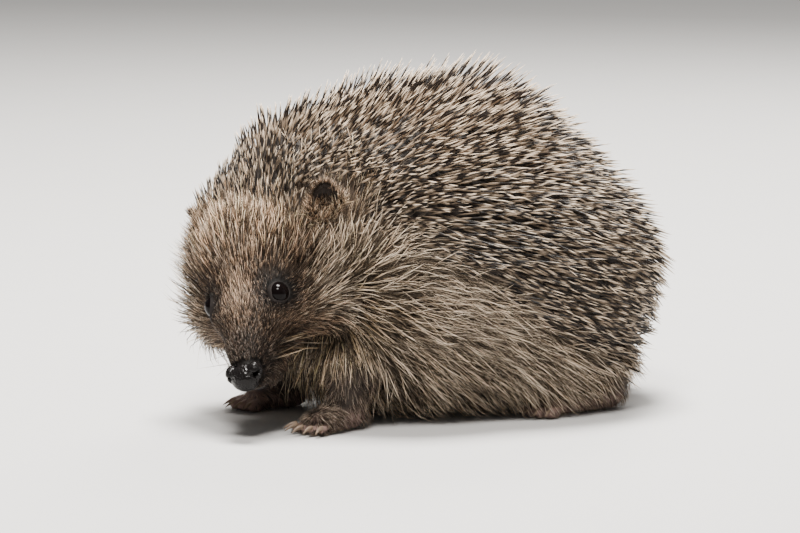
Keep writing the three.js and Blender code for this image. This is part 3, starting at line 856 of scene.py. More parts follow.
def random_places(weight, amount, rng):
    """Places on the skin: triangles drawn by area times weight, and in each an even random point."""
    corners = SKIN["points"][SKIN["triangles"]]
    sides = corners[:, 1] - corners[:, 0], corners[:, 2] - corners[:, 0]
    area = np.linalg.norm(np.cross(*sides), axis=1) / 2
    total = np.cumsum(area * weight(corners.mean(1)))
    chosen = corners[np.searchsorted(total, rng.random(amount) * total[-1])]
    root, t = np.sqrt(rng.random((amount, 1))), rng.random((amount, 1))
    return chosen[:, 0] * (1 - root) + chosen[:, 1] * root * (1 - t) + chosen[:, 2] * root * t


def near_pairs(points, distance):
    """All pairs of points nearer than a distance, found through a grid of cells of that size."""
    cells = np.floor((points - points.min(0)) / distance).astype(np.int64) + 1
    stride = np.array([1, GRID_CELLS, GRID_CELLS**2])
    keys = cells @ stride
    order = np.argsort(keys)
    ordered = keys[order]
    firsts, seconds = [], []
    for step in np.ndindex(3, 3, 3):
        target = keys + (np.array(step) - 1) @ stride
        low, high = np.searchsorted(ordered, target, "left"), np.searchsorted(ordered, target, "right")
        number = high - low
        first = np.repeat(np.arange(len(points)), number)
        offset = np.arange(number.sum()) - np.repeat(np.cumsum(number) - number, number)
        second = order[np.repeat(low, number) + offset]
        close = (first != second) & (np.linalg.norm(points[first] - points[second], axis=1) < distance)
        firsts.append(first[close])
        seconds.append(second[close])
    return np.concatenate(firsts), np.concatenate(seconds)


def thinned(points, distance, rng):
    """A subset in which no two points are nearer than a distance: round by round, each point that outranks
    all its neighbours stays and takes them away."""
    rank = rng.random(len(points))
    first, second = near_pairs(points, distance)
    kept = np.zeros(len(points), bool)
    alive = np.ones(len(points), bool)
    while alive.any():
        both = alive[first] & alive[second]
        best = np.zeros(len(points))
        np.maximum.at(best, first[both], rank[second[both]])
        wins = alive & (rank > best)
        kept |= wins
        alive &= ~wins
        alive[second[wins[first]]] = False
    return points[kept]


def grown_hair(roots, steps, rng, fur):
    """Paths of hairs: each goes on along the lie, rising less and less, and stays off the skin."""
    normals = unit(slope(body, roots))
    lengths = hair_lengths(roots) * rng.uniform(0.72, 1.18, len(roots))
    lifts = hair_lifts(roots) * rng.uniform(0.6, 1.5, len(roots))
    stray = (0.17 + 0.15 * ramp(lengths, 7, 18)) * (1 + 1.4 * (rng.random(len(roots)) < 0.18))
    sway = rng.normal(0, 1, (len(roots), 1)) * stray[:, None]
    point, path = roots, [roots - ROOT_DEPTH * normals]
    count, heading = len(steps) - 1, 0
    for i in range(count):
        n = unit(slope(body, point))
        lie = hair_lie(point, n)
        rise = (lifts * (1 - 0.7 * i / count))[:, None]
        local = unit(lie * np.cos(rise) + n * np.sin(rise) + sway * np.cross(n, lie))
        heading = unit(local + INERTIA * heading)
        point = point + heading * (lengths * (steps[i + 1] - steps[i]))[:, None]
        clearance = 0.25 + 0.12 * (i + 1) * lifts
        point = point + n * np.maximum(clearance - body(point), 0)[:, None]
        point[:, 2] = np.maximum(point[:, 2], HAIR_FLOOR)
        path.append(point)
    thick = fur.thick / MM * (0.42 + 0.58 * ramp(lengths, 3, 15)) * rng.uniform(0.75, 1.2, len(roots))
    return {
        "roots": roots,
        "paths": np.stack(path, axis=1),
        "steps": steps,
        "outs": normals,
        "widths": thick,
        "thicks": 0.65 * thick,
        "seeds": rng.random(len(roots)),
        "markings": skin_colours(roots + rng.normal(0, 1.6, roots.shape), fur),
    }


def nearest(points, guides):
    """For each point the index of the nearest guide."""
    found = np.empty(len(points), int)
    lengths = (guides**2).sum(1)
    for start in range(0, len(points), BATCH):
        part = points[start:start + BATCH]
        found[start:start + BATCH] = np.argmin(lengths - 2 * part @ guides.T, axis=1)
    return found


def gathered(growth, spacing, rng):
    """Hairs drawn together towards their tips into locks: each goes part of the way to its guide's path.
    Spacing is the number of hairs to a lock."""
    roots, paths, steps = growth["roots"], growth["paths"], growth["steps"]
    guides = rng.choice(len(roots), max(1, int(len(roots) / spacing)), replace=False)
    guide = guides[nearest(roots, roots[guides])]
    pull = rng.uniform(0.0, 0.42, len(roots))[:, None] * steps[None] ** 1.4
    growth["paths"] = paths + pull[..., None] * (paths[guide] - paths)
    return growth


def picked(growth, chosen):
    """The part of a growth that a mask or an index array names."""
    return {key: value if key == "steps" else value[chosen] for key, value in growth.items()}


# ---- finishes ------------------------------------------------------------------------------------
CREAM, GREY_HAIR, PALEST = (1.0, 0.84, 0.66), (0.50, 0.42, 0.34), (1.0, 0.82, 0.62)


def hair_finish(name):
    """Hair: painted shade at the root, near black as if shaded deep in the coat, and its marking's colour
    along its length. More than four in ten are dark all along, partly real dark hairs and partly painted
    shade in the gaps between pale ones; one in ten is greyer, and the others differ in tone, the palest
    with cream tips. Dark markings vary less than pale ones."""
    finish = Finish(name, roughness=0.6, specular_ior_level=0.15)
    along, seed = finish.number("along"), finish.number("seed")
    marking = finish.colour("marking")
    own = finish.node("ShaderNodeTexWhiteNoise", {"noise_dimensions": "1D"}, {"W": seed * 917.0})
    pale = finish.node("ShaderNodeRGBToBW", None, {"Color": marking})
    bright = finish.eased(pale, 0.06, 0.28)
    spread = 2.3 + 0.8 * bright + 0.7 * finish.eased(pale, 0.25, 0.6)
    lit = finish.scaled(marking, 0.3 - 0.2 * bright + spread * own**3)
    lit = finish.mixed(finish.eased(seed, 0.12, 0.08) * 0.5, lit, GREY_HAIR)
    lit = finish.node("ShaderNodeVectorMath", {"operation": "MINIMUM"}, {0: lit, 1: PALEST})
    # painted shade: the root's colour, near black, as if shaded deep in the coat
    root_shade = finish.scaled(marking, 0.032)
    # dark all along: partly real dark hairs, partly painted shade that darkens the gaps between pale ones
    dark_all_along = finish.eased(seed, 0.54, 0.58)
    body_share = finish.eased(along, 0.16, 0.85) * (1.0 - 0.92 * dark_all_along)
    colour = finish.mixed(body_share, root_shade, lit)
    ends = finish.eased(along, 0.5, 1.0) * own * body_share * finish.eased(pale, 0.03, 0.7)
    finish.set("Base Color", finish.mixed(ends, colour, CREAM))
    return finish.material


def spine_finish(spines):
    """A spine: painted shade near black at the root, tan shaft, broad dark band, pale end. The band's place
    changes by spine, and the tone by spine and with painted light from above, which the seed carries.
    """
    finish = Finish("spine horn", roughness=0.34, specular_ior_level=0.3)
    along, seed = finish.number("along"), finish.number("seed")
    own = finish.node("ShaderNodeTexWhiteNoise", {"noise_dimensions": "1D"}, {"W": seed * 733.0})
    # painted shade: near black at the root, lightening to the shaft by a third of the length, where the
    # spines shade each other
    root = [0.06 * c for c in spines.shaft]
    stops = [(0.0, root), (1.0, spines.tip), (0.34, spines.shaft), (0.46, spines.shaft),
             (0.56, spines.band), (0.78, spines.band), (0.88, spines.tip)]
    place = along + (own - 0.5) * 0.14
    colour = finish.node("ShaderNodeValToRGB", {"stops": stops}, {"Fac": place})
    # the seed carries each spine's random tone and the painted light from above
    finish.set("Base Color", finish.scaled(colour, 0.31 + 0.8 * seed))
    return finish.material


def skin_finish():
    """Skin under fur: the marking's colour, mottled, with a bump of short flat hair and fine wrinkles. On
    the
    skin the marking holds painted shade: darkened under the hair, near black among the spines and in the
    ear hollows.
    """
    finish = Finish("skin", roughness=0.62, specular_ior_level=0.3)
    marking = finish.colour("marking")
    fine = finish.noise(1400.0, 4.0)
    broad = finish.noise(260.0, 3.0)
    finish.set("Base Color", finish.scaled(marking, 0.5 + 0.65 * fine + 0.35 * broad))
    finish.bump(fine + 0.5 * broad, 0.5, 0.0003)
    return finish.material


def eye_finish(skin):
    """An eyeball: black and wet."""
    finish = Finish("eyeball", base_color=skin.eye, roughness=0.06, specular_ior_level=0.08)
    return finish.material


def nose_finish(skin):
    """Wet leather: black, pebbled in small cells, with wetter and drier places."""
    finish = Finish("wet nose", specular_ior_level=0.13)
    values = {"Vector": finish.place(), "Scale": 1500.0}
    cells = finish.node("ShaderNodeTexVoronoi", {"feature": "SMOOTH_F1"}, values)
    damp = finish.noise(420.0)
    finish.set("Base Color", finish.mixed(cells, skin.nose, [2.5 * c for c in skin.nose]))
    finish.set("Roughness", finish.eased(damp, 0.3, 0.75) * 0.16 + 0.13)
    finish.bump(cells + 0.25 * damp, 0.8, 0.00035)
    return finish.material


def bare_finish(name, colour, roughness, scale=1100.0, depth=0.0002, specular=0.3):
    """Bare skin: mottled colour over fine wrinkles."""
    finish = Finish(name, roughness=roughness, specular_ior_level=specular)
    fine = finish.noise(scale, 4.0)
    finish.set("Base Color", finish.mixed(fine, [0.6 * c for c in colour], [1.35 * c for c in colour]))
    finish.bump(fine, 0.6, depth)
    return finish.material


def settings():
    scene = bpy.context.scene
    return scene.hedgehog_spines, scene.hedgehog_fur, scene.hedgehog_skin, scene.hedgehog_stage


# ---- the pieces ----------------------------------------------------------------------------------
SHADE_UNDER_FUR = 0.09  # how dark the skin is under its hair, as a share of the marking
FLESH_NODES = ("head", "neck", "torso_front", "torso_rear", "tail",
               *(f"{part}_{limb}" for part in ("leg", "paw") for limb in LIMBS))


def shell_parts():
    """Closed parts that together fill the flesh: rays from inner points, out to the skin or to a limit."""
    yield TRUNK_CENTRE, 90, 150, 190
    yield SKULL_CENTRE, 90, 120, 190
    yield np.array(TAIL[0]) * 0.4 + np.array(TAIL[1]) * 0.6, 24, 24, 11
    for limb, (hip, ankle, toe, _) in LIMBS.items():
        yield np.array(hip) * 0.4 + np.array(ankle) * 0.6, 40, 48, 22
        yield np.array([*(np.array(ankle[:2]) * 0.6 + np.array(toe[:2]) * 0.4), 4.2]), 40, 48, 16
        for root, heading, size in toes_of(limb):
            yield root + 0.6 * size * heading, 20, 20, 7


class HEDGEHOG_OT_skin(bpy.types.Operator):
    """Makes the one skin of head, body, tail, legs and paws."""

    bl_idname = "hedgehog.skin"
    bl_label = "Skin"

    def execute(self, context):
        _, fur, skin, _ = settings()
        points, faces, start = [], [], 0
        for centre, rows, columns, limit in shell_parts():
            grid = ball_grid(rows, columns)
            part = centre + reach_of(flesh, centre, grid, limit)[:, None] * grid
            points.append(part)
            faces += [f + start for f in ball_faces(rows, columns)]
            start += len(part)
        rough = new_mesh("skin_parts", np.concatenate(points), faces)
        piece = bpy.data.objects.new("skin_parts", rough)
        context.scene.collection.objects.link(piece)
        remesh = piece.modifiers.new("one skin", "REMESH")
        remesh.mode, remesh.voxel_size = "VOXEL", VOXEL * MM
        context.view_layer.update()
        joined = bpy.data.meshes.new_from_object(piece.evaluated_get(context.evaluated_depsgraph_get()))
        bpy.data.objects.remove(piece)
        joined.calc_loop_triangles()
        triangles = np.empty(len(joined.loop_triangles) * 3, np.int32)
        joined.loop_triangles.foreach_get("vertices", triangles)
        place_of = np.empty(len(joined.vertices) * 3)
        joined.vertices.foreach_get("co", place_of)
        if not len(triangles):
            raise RuntimeError("the skin's parts did not join")
        quads = np.empty(len(joined.loops), np.int32)
        joined.loops.foreach_get("vertex_index", quads)
        smooth = settled(flesh, place_of.reshape(-1, 3) / MM - SHIFT, 5)
        smooth[:, 2] = np.maximum(smooth[:, 2], SOLE_Z)
        SKIN["points"], SKIN["triangles"] = smooth, triangles.reshape(-1, 3)
        mesh = new_mesh("skin", smooth, [quads.reshape(-1, 4)])
        # painted shade: the skin under hair is its marking darkened, and among the spines and in the ear
        # hollows it is near black, for the shade deep in the coat and in the hollows
        colours = skin_colours(smooth, fur) * SHADE_UNDER_FUR
        shaded_ear_hollows = ramp(1 - ear_hollows(smooth), 0, 0.8)
        colours = mix(colours, skin.back, np.maximum(spine_share(smooth), shaded_ear_hollows))
        bare = np.maximum(limb_share(smooth) * ramp(9 - smooth[:, 2], 0, 5), ramp(2 - tail(smooth), 0, 2))
        store(mesh, "marking", mix(colours, skin.paw, bare))
        place("skin", mesh, skin_finish(), "skin", FLESH_NODES)
        return {"FINISHED"}


class HEDGEHOG_OT_eyes(bpy.types.Operator):
    """Makes both eyeballs and their lids."""

    bl_idname = "hedgehog.eyes"
    bl_label = "Eyes and lids"

    def execute(self, context):
        skin = settings()[2]
        rows, columns = 40, 48
        glossy, lid = eye_finish(skin), bare_finish("eyelid", skin.lid, 0.75, 1500.0, 0.00025, 0.12)
        for side, (centre, outward) in EYES.items():
            front = flat(FORWARD, outward)
            axes = np.stack([outward, front, np.cross(outward, front)])
            ball = turned(ball_grid(rows, columns), axes)
            centre = centre - EYE_SINK * outward
            ball_mesh = new_mesh("eye", centre + EYE_RADIUS * ball, ball_faces(rows, columns))
            place(f"eye_{SIDES[side]}_ball", ball_mesh, glossy, "eye", (f"eye_{SIDES[side]}",))
            mesh = new_mesh("lid", *lid_surface(centre, axes))
            place(f"eye_{SIDES[side]}_lid", mesh, lid, "face")
        return {"FINISHED"}


EYE_OPENING = 3.26  # radius, away from the corner
LID_SECTION = np.array([  # outwards from the opening, and up from the eyeball's centre
    (-0.14, 1.3), (-0.04, 1.76), (0.05, 1.90), (0.16, 1.93), (0.30, 1.82), (0.44, 1.50), (0.56, 0.98),
    (0.72, 0.1), (0.85, -0.9), (0.3, -0.8),
])


def lid_surface(centre, axes):
    """A lid: a closed ring whose section runs from the eyeball's edge over a soft rim and down under the
    skin. The opening is round with a point towards the nose. Parameters: angle round the eye, way over the
    rim."""
    angle = np.linspace(0, 2 * np.pi, 72, endpoint=False)[:, None]
    corner = np.exp(-((np.angle(np.exp(1j * (angle + 0.35))) / 0.42) ** 2))
    opening = EYE_OPENING + 0.42 * corner + 0.06 * np.cos(2 * angle)
    outwards, upwards = LID_SECTION[None, :, 0], LID_SECTION[None, :, 1]
    radius = opening + outwards * (1 + 0.25 * corner)
    height = upwards + 0.06 * np.sin(9 * angle) * (outwards > 0.3) - 0.25 * corner
    points = (centre + height[..., None] * axes[0] + (radius * np.cos(angle))[..., None] * axes[1]
              + (radius * np.sin(angle))[..., None] * axes[2])
    return points.reshape(-1, 3), [ring_faces(*radius.shape)]


def ring_faces(rows, columns):
    """Quads of a grid that closes on itself both ways, facing outward if the section turns from inside to
    outside."""
    i, j = np.arange(rows)[:, None], np.arange(columns)[None]
    down, right = (i + 1) % rows, (j + 1) % columns
    quads = [i * columns + j, down * columns + j, down * columns + right, i * columns + right]
    return np.stack([np.broadcast_to(q, (rows, columns)) for q in quads], axis=-1).reshape(-1, 4)


class HEDGEHOG_OT_nose(bpy.types.Operator):
    """Makes the bare nose with its nostrils."""

    bl_idname = "hedgehog.nose"
    bl_label = "Nose"

    def execute(self, context):
        skin = settings()[2]
        rows, columns = 110, 150
        centre = on_head(1.2, 0, -0.3)
        grid = turned(ball_grid(rows, columns), HEAD_AXES)
        points = centre + reach_of(nose_field, centre, grid, 12)[:, None] * grid
        mesh = new_mesh("nose", points, ball_faces(rows, columns))
        place("nose_pad", mesh, nose_finish(skin), "nose", ("nose",))
        return {"FINISHED"}


EAR_RIM, EAR_CUP, EAR_EGG = 0.55, 3.1, 3.6  # the rim's place, and how far cup and back lie behind it
EAR_HAIRS, EAR_HAIR_THICK = 4200, 0.17  # on each ear


def ear_points(side, rows, columns):
    """An ear: a ball grid whose back half is an egg and whose front half is pressed in to a cup with a thin
    rim."""
    centre, axes = EARS[side]
    grid = ball_grid(rows, columns)
    facing, wide, tall = grid[:, 2], grid[:, 0], grid[:, 1]
    hollow = facing > 0
    cup, egg = EAR_RIM - EAR_CUP * np.clip(facing, 0, 1) ** 0.8, EAR_RIM + EAR_EGG * facing
    depth = np.where(hollow, cup, egg)
    inset = np.where(hollow, 1 - 0.13 * ramp(facing, 0, 0.25), 1.0)
    width = EAR_RADII[1] * inset * wide * (1 - 0.16 * tall)
    height = EAR_RADII[2] * inset * tall
    fold = 0.25 * np.sin(5 * np.arctan2(tall, wide)) * (1 - np.abs(facing))
    return (centre + (depth + fold)[:, None] * axes[0] + width[:, None] * axes[1]
            + height[:, None] * axes[2])


class HEDGEHOG_OT_ears(bpy.types.Operator):
    """Makes both ears as thin cups with short hair, which is thickest on the rim and low down."""

    bl_idname = "hedgehog.ears"
    bl_label = "Ears"

    def execute(self, context):
        _, fur, skin, _ = settings()
        rows, columns = 48, 56
        bare, furry = bare_finish("ear skin", skin.ear, 0.6, 900.0), hair_finish("ear hair")
        rng = np.random.default_rng(31)
        for side, (centre, axes) in EARS.items():
            points = ear_points(side, rows, columns)
            mesh = new_mesh("ear", points, ball_faces(rows, columns))
            place(f"ear_{SIDES[side]}_cup", mesh, bare, "ear", (f"ear_{SIDES[side]}",))
            hair = ear_hair(points, centre, axes, fur, rng)
            profile = np.array([0.8, 1.0, 0.0])
            place(f"fur_ear_{SIDES[side]}", strands("ear hair", hair, profile, 3, centre), furry, "ear")
        return {"FINISHED"}


def ear_hair(points, centre, axes, fur, rng):
    """Short hair from the ear's own grid points, up along it and outwards, longest low on the ear."""
    away = (points - centre) @ axes.T
    rim = np.exp(-((away[:, 0] / 1.3) ** 2))
    low = ramp(3.5 - away[:, 2], 0, 6)
    weight = 0.3 + 2.0 * rim + 1.6 * low
    chosen = rng.choice(len(points), EAR_HAIRS, p=weight / weight.sum())
    roots = points[chosen] + rng.normal(0, 0.16, (len(chosen), 3))
    out = unit((away[chosen] / EAR_RADII**2) @ axes)
    heading = unit(0.9 * axes[2] + 0.3 * out + (0.6 * low[chosen, None] - 0.35) * axes[0]
                   + rng.normal(0, 0.34, out.shape))
    size = (1.5 + 3.0 * low[chosen] + 1.4 * rim[chosen]) * rng.uniform(0.6, 1.3, len(chosen))
    steps = np.array([0, 0.5, 1.0])
    path = roots[:, None] + heading[:, None] * (size[:, None] * steps)[..., None]
    thick = EAR_HAIR_THICK * rng.uniform(0.8, 1.2, len(chosen))
    pale = np.clip(0.5 * rim + 0.75 * low, 0, 1)[chosen]
    colours = mix(np.broadcast_to(np.array(fur.mask), roots.shape), fur.brow, pale)
    return {"roots": roots, "paths": path, "steps": steps, "outs": out, "widths": thick,
            "thicks": 0.7 * thick, "seeds": rng.random(len(chosen)), "markings": colours}


CLAW_LENGTH, CLAW_WIDTH, CLAW_DEPTH = 5.0, 1.45, 1.8


class HEDGEHOG_OT_claws(bpy.types.Operator):
    """Makes the claws: curved cones, five on each paw."""

    bl_idname = "hedgehog.claws"
    bl_label = "Claws"

    def execute(self, context):
        skin = settings()[2]
        steps = np.linspace(0, 1, 10)
        paths, outs = [], []
        for limb in LIMBS:
            for root, heading, size in toes_of(limb):
                start = root + 1.12 * size * heading + [0, 0, 0.75]
                drop = np.stack([0 * steps, 0 * steps, 0.9 * steps - 2.6 * steps**2], axis=-1)
                paths.append(start + (CLAW_LENGTH * steps)[:, None] * heading + drop)
                outs.append([0, 0, 1.0])
        paths, outs = np.array(paths), np.array(outs)
        paths[..., 2] = np.maximum(paths[..., 2], 0.35)
        number = np.ones(len(paths))
        profile = 1 - steps**1.6 + 1e-3
        points = strand_points(paths, outs, CLAW_WIDTH * number, CLAW_DEPTH * number, profile, 12)
        mesh = new_mesh("claws", points, strand_faces(len(paths), len(steps) - 1, 12))
        place("claws", mesh, bare_finish("claw horn", skin.claw, 0.35, 500.0, 0.00008), "paw")
        return {"FINISHED"}


SPINE_STEPS = np.array([0.0, 0.42, 0.76, 0.92, 1.0])  # places of a strand's rings along it
SPINE_PROFILE = np.array([0.6, 1.0, 0.70, 0.34, 0.0])
SPINE_CANDIDATES = 44000  # random places, of which those far enough apart stay
SPINE_DEPTH, SPINE_FLOOR = 0.8, 0.8  # how deep the roots lie, and how near a spine comes to the floor
SPINE_FIELDS = {"back_front": (-999, -20), "back_middle": (-20, 18), "back_rear": (18, 999)}  # along x


def grown_spines(roots, spines, fur, rng):
    """Paths of spines: each leaves the skin at its lift and bends a little towards the lie. The lift grows
    upwards and forwards, and is less on the crown. Spines are longest on top of the back, shorter near the
    head, and, as painted light, paler the higher they grow, as if lit from above; on the crown they are
    darker."""
    number = len(roots)
    x, _, z = xyz(roots)
    normals = unit(slope(body, roots))
    lie = spine_lie(roots, normals)
    head = on_the_head(roots)
    lift = 0.5 + 0.26 * ramp(z, 45, 95) + 0.18 * ramp(-x, 10, 60) - 0.36 * head
    rise = (lift * rng.uniform(0.65, 1.3, number))[:, None]
    aside = rng.normal(0, 0.2, (number, 1))
    start = unit(lie * np.cos(rise) + normals * np.sin(rise) + aside * np.cross(normals, lie))
    turn = unit(start + 0.16 * lie) - start
    size = spines.reach / MM * (1 - 0.28 * ramp(-x, 32, 62)) * rng.uniform(0.8, 1.1, number)
    size = size * (1 + 0.2 * ramp(z, 90, 104) * (1 - ramp(x, 0, 22)))
    run = (size[:, None] * SPINE_STEPS)[..., None]
    paths = roots[:, None] - SPINE_DEPTH * normals[:, None] + start[:, None] * run
    paths = paths + turn[:, None] * run * 0.5 * SPINE_STEPS[None, :, None]
    paths[..., 2] = np.maximum(paths[..., 2], SPINE_FLOOR)
    thick = spines.thick / MM * rng.uniform(0.82, 1.12, number) * (1 - 0.12 * head)
    # painted light: the tone rises with height, as if the upper spines were lit from above; less so on the
    # crown, whose seed is lowered further
    tone = 0.5 * rng.random(number) + 0.5 * ramp(z, 52, 108) * (1 - 0.6 * head)
    return {"roots": roots, "paths": paths, "steps": SPINE_STEPS, "outs": normals, "widths": thick,
            "thicks": thick, "seeds": tone * (1 - 0.42 * head), "markings": skin_colours(roots, fur)}


class HEDGEHOG_OT_spines(bpy.types.Operator):
    """Grows the banded spines of back and crown."""

    bl_idname = "hedgehog.spines"
    bl_label = "Spines"

    def execute(self, context):
        spines, fur = settings()[:2]
        rng = np.random.default_rng(7)
        roots = thinned(random_places(spine_share, SPINE_CANDIDATES, rng), spines.spacing / MM, rng)
        growth = grown_spines(roots, spines, fur, rng)
        horn = spine_finish(spines)
        parts = {"crown": on_the_head(roots) > 0.5}
        for name, (start, end) in SPINE_FIELDS.items():
            parts[name] = ~parts["crown"] & (roots[:, 0] >= start) & (roots[:, 0] < end)
        for name, chosen in parts.items():
            if not chosen.any():
                raise RuntimeError(f"no spines grew on the {name}")
            centre = SKULL_CENTRE if name == "crown" else TRUNK_CENTRE
            mesh = strands(name, picked(growth, chosen), SPINE_PROFILE, 5, centre)
            place(f"spines_{name}", mesh, horn, "coat")
        return {"FINISHED"}


SHORT_STEPS = np.array([0.0, 0.5, 1.0])
SHORT_PROFILE = np.array([0.9, 1.0, 0.0])
LONG_STEPS = np.array([0.0, 0.25, 0.5, 0.76, 1.0])
LONG_PROFILE = np.array([0.9, 1.0, 0.95, 0.75, 0.0])
HAIRS = 66000
LONG_HAIR = 6.5  # from this length on a hair has more rings


def coat_parts(roots):
    """Names of the coat's pieces, an inner point of each, and which roots it takes."""
    back, left, up = head_coords(roots)
    head, limb = on_the_head(roots) > 0.5, limb_share(roots) > 0.5
    yield "muzzle", SKULL_CENTRE, head & (back < 24) & ~limb
    yield "brow", SKULL_CENTRE, head & (back >= 24) & (up > 9) & ~limb
    for side, name in SIDES.items():
        yield f"cheek_{name}", SKULL_CENTRE, head & (back >= 24) & (up <= 9) & (left * side > 0) & ~limb
    for side, name in SIDES.items():
        near = ~head & ~limb & (-roots[:, 1] * side > 0)
        yield f"collar_{name}", TRUNK_CENTRE, near & (roots[:, 0] < -38)
        yield f"flank_{name}", TRUNK_CENTRE, near & (roots[:, 0] >= -38) & (roots[:, 0] < 14)
        yield f"haunch_{name}", TRUNK_CENTRE, near & (roots[:, 0] >= 14)
    for limb_name, (hip, ankle, _, _) in LIMBS.items():
        middle = np.array(hip) * 0.5 + np.array(ankle) * 0.5
        closest = np.ones(len(roots), bool)
        own = np.linalg.norm((roots - middle)[:, :2], axis=1)
        for other_hip, other_ankle, _, _ in LIMBS.values():
            other = np.array(other_hip) * 0.5 + np.array(other_ankle) * 0.5
            closest &= own <= np.linalg.norm((roots - other)[:, :2], axis=1) + 1e-9
        yield f"leg_{limb_name}", middle, limb & closest


class HEDGEHOG_OT_fur(bpy.types.Operator):
    """Grows the hair of face, neck, flanks, belly and legs, in one piece for each part."""

    bl_idname = "hedgehog.fur"
    bl_label = "Fur"

    def execute(self, context):
        fur = settings()[1]
        rng = np.random.default_rng(11)
        soft = hair_finish("fur")
        roots = random_places(hair_share, int(HAIRS * fur.amount), rng)
        short = hair_lengths(roots) < LONG_HAIR
        for kind, chosen, steps, profile, lock in (
            ("short", short, SHORT_STEPS, SHORT_PROFILE, 7),
            ("long", ~short, LONG_STEPS, LONG_PROFILE, 9),
        ):
            growth = gathered(grown_hair(roots[chosen], steps, rng, fur), lock, rng)
            for name, centre, part in coat_parts(growth["roots"]):
                if part.sum() > 20:
                    mesh = strands(f"{name}_{kind}", picked(growth, part), profile, 3, centre)
                    place(f"fur_{name}_{kind}", mesh, soft, "coat")
        return {"FINISHED"}


WHISKERS = 13  # on each side


class HEDGEHOG_OT_whiskers(bpy.types.Operator):
    """Makes the whiskers of the muzzle: thin hairs that curve out and back."""

    bl_idname = "hedgehog.whiskers"
    bl_label = "Whiskers"

    def execute(self, context):
        fur = settings()[1]
        rng = np.random.default_rng(23)
        steps = np.linspace(0, 1, 8)
        roots, ways = [], []
        for side in (1, -1):
            for _ in range(WHISKERS):
                back, up = rng.uniform(6, 17), rng.uniform(-3.5, 1.5)
                roots.append(on_head(back, (4 + 0.35 * back) * side, up))
                ways.append(headward(rng.uniform(-0.75, 0.1), side, rng.uniform(-0.75, 0.15)))
        roots = settled(body, np.array(roots))
        ways = np.array(ways)
        sizes = rng.uniform(8, 17, len(roots))
        run = (sizes[:, None] * steps)[..., None]
        droop = (0.12 * run**2 / sizes[:, None, None]) * (-FORWARD - 0.4 * UP)
        thick = rng.uniform(0.15, 0.2, len(roots))
        paths = roots[:, None] - 0.6 * ways[:, None] + run * ways[:, None] + droop
        growth = {"roots": roots, "paths": paths, "steps": steps, "outs": unit(slope(body, roots)),
                  "widths": thick, "thicks": thick, "seeds": rng.uniform(0, 0.5, len(roots)),
                  "markings": np.tile(mix(np.array(fur.mask), fur.throat, 0.45), (len(roots), 1))}
        mesh = strands("whiskers", growth, 1 - steps**2, 4, SKULL_CENTRE)
        place("fur_whiskers", mesh, hair_finish("whisker"), "coat")
        return {"FINISHED"}


FLOOR_REACH = 8000.0  # from the middle to the edge
LAMPS = (  # name, place, size, power
    ("key", (-0.45, -0.62, 1.15), 0.3, 17.0),
    ("sky", (0.05, 0.1, 1.3), 0.45, 46.0),
    ("rim", (0.7, 0.75, 0.8), 0.5, 11.0),
    ("fill", (0.9, -0.9, 0.5), 0.8, 1.0),
)
LAMP_COLOUR, ROOM_COLOUR, ROOM_LIGHT = (1.0, 0.965, 0.915), (0.93, 0.93, 0.93, 1), 0.19
RENDER_SIZE, SENSOR = (800, 533), 36.0  # pixels, and millimetres across the camera's sensor
SCALE = 2.9  # pixels of that render to a millimetre at the animal
ORIGIN_AT = (457, 405)  # the pixel at which the design frame's origin stands


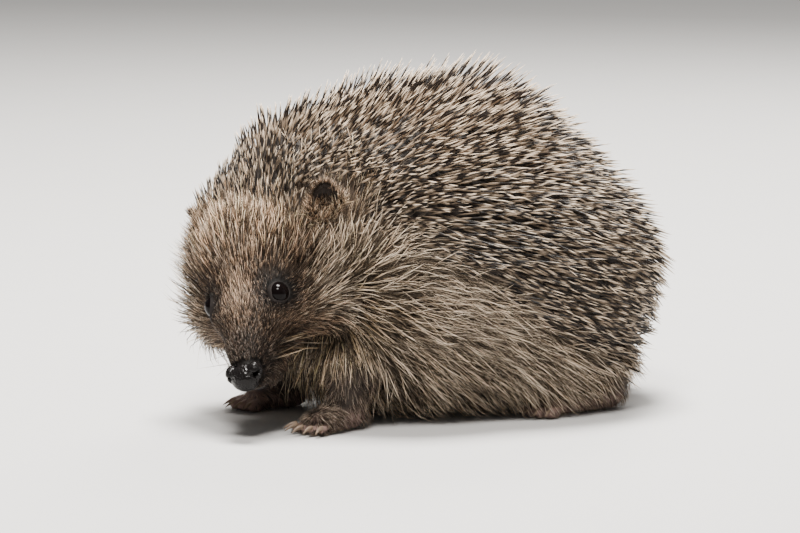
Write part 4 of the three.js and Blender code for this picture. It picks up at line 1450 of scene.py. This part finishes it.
class HEDGEHOG_OT_stage(bpy.types.Operator):
    """Sets the floor, the soft lights and the camera."""

    bl_idname = "hedgehog.stage"
    bl_label = "Stage"

    def execute(self, context):
        stage = settings()[3]
        scene = context.scene
        corners = FLOOR_REACH * np.array([(-1, -1, 0), (1, -1, 0), (1, 1, 0), (-1, 1, 0)])
        mesh = new_mesh("floor", corners - SHIFT, [np.array([[0, 1, 2, 3]])])
        floor = bpy.data.objects.new("floor", mesh)
        scene.collection.objects.link(floor)
        finish = Finish("floor paint", roughness=0.9, specular_ior_level=0.1)
        worn = [0.97 * c for c in stage.floor]
        finish.set("Base Color", finish.mixed(finish.noise(30.0), worn, stage.floor))
        mesh.materials.append(finish.material)
        middle = Vector((0, 0, 0.055))
        for name, spot, size, power in LAMPS:
            lamp = bpy.data.lights.new(name, "AREA")
            lamp.size, lamp.energy, lamp.color = size, power * stage.light, LAMP_COLOUR
            shining = bpy.data.objects.new(name, lamp)
            shining.matrix_world = Matrix.Translation(spot) @ (
                (middle - Vector(spot)).to_track_quat("-Z", "Y").to_matrix().to_4x4())
            scene.collection.objects.link(shining)
        world = bpy.data.worlds.new("studio")
        world.use_nodes = True
        room = world.node_tree.nodes["Background"].inputs
        room["Color"].default_value, room["Strength"].default_value = ROOM_COLOUR, ROOM_LIGHT
        scene.world = world
        scene.camera = self.camera(scene, stage)
        return {"FINISHED"}

    def camera(self, scene, stage):
        """A long lens that looks at the animal from the given angles, as far off as the scale asks."""
        away = RENDER_SIZE[0] / SENSOR * stage.lens / SCALE
        turn, height = stage.turn, stage.height
        right = np.array([math.cos(turn), math.sin(turn), 0])
        ahead = np.array([math.sin(turn), -math.cos(turn), 0])
        back = ahead * math.cos(height) + np.array([0, 0, math.sin(height)])
        up = np.cross(back, right)
        across = right * (RENDER_SIZE[0] / 2 - ORIGIN_AT[0]) / SCALE
        target = across + up * (ORIGIN_AT[1] - RENDER_SIZE[1] / 2) / SCALE
        spot = (target + away * back + SHIFT) * MM
        data = bpy.data.cameras.new("camera")
        data.lens, data.sensor_width = stage.lens, SENSOR
        eye = bpy.data.objects.new("camera", data)
        turned_axes = np.stack([right, up, back], axis=1)
        eye.matrix_world = Matrix.Translation(spot) @ Matrix(turned_axes.tolist()).to_4x4()
        scene.collection.objects.link(eye)
        return eye


class HEDGEHOG_PT_panel(bpy.types.Panel):
    """Lists the pieces and their settings."""

    bl_label = "Hedgehog"
    bl_idname = "HEDGEHOG_PT_panel"
    bl_space_type = "VIEW_3D"
    bl_region_type = "UI"
    bl_category = "Hedgehog"

    def draw(self, context):
        layout = self.layout
        for group in settings():
            box = layout.box()
            for name in group.bl_rna.properties.keys():
                if name not in ("rna_type", "name"):
                    box.prop(group, name)
        for operator in OPERATORS:
            layout.operator(operator.bl_idname)


OPERATORS = (HEDGEHOG_OT_skin, HEDGEHOG_OT_eyes, HEDGEHOG_OT_nose, HEDGEHOG_OT_ears, HEDGEHOG_OT_claws,
             HEDGEHOG_OT_spines, HEDGEHOG_OT_fur, HEDGEHOG_OT_whiskers, HEDGEHOG_OT_stage)
GROUPS = {"hedgehog_spines": HedgehogSpines, "hedgehog_fur": HedgehogFur, "hedgehog_skin": HedgehogSkin,
          "hedgehog_stage": HedgehogStage}


def register():
    for group in (*GROUPS.values(), *OPERATORS, HEDGEHOG_PT_panel):
        bpy.utils.register_class(group)
    for name, group in GROUPS.items():
        setattr(bpy.types.Scene, name, PointerProperty(type=group))


def unregister():
    for name in GROUPS:
        delattr(bpy.types.Scene, name)
    for group in reversed((*GROUPS.values(), *OPERATORS, HEDGEHOG_PT_panel)):
        bpy.utils.unregister_class(group)


def main():
    """Builds every piece."""
    register()
    for piece in ("skin", "eyes", "nose", "ears", "claws", "spines", "fur", "whiskers", "stage"):
        getattr(bpy.ops.hedgehog, piece)()
    bpy.context.view_layer.update()


if __name__ == "__main__":
    main()
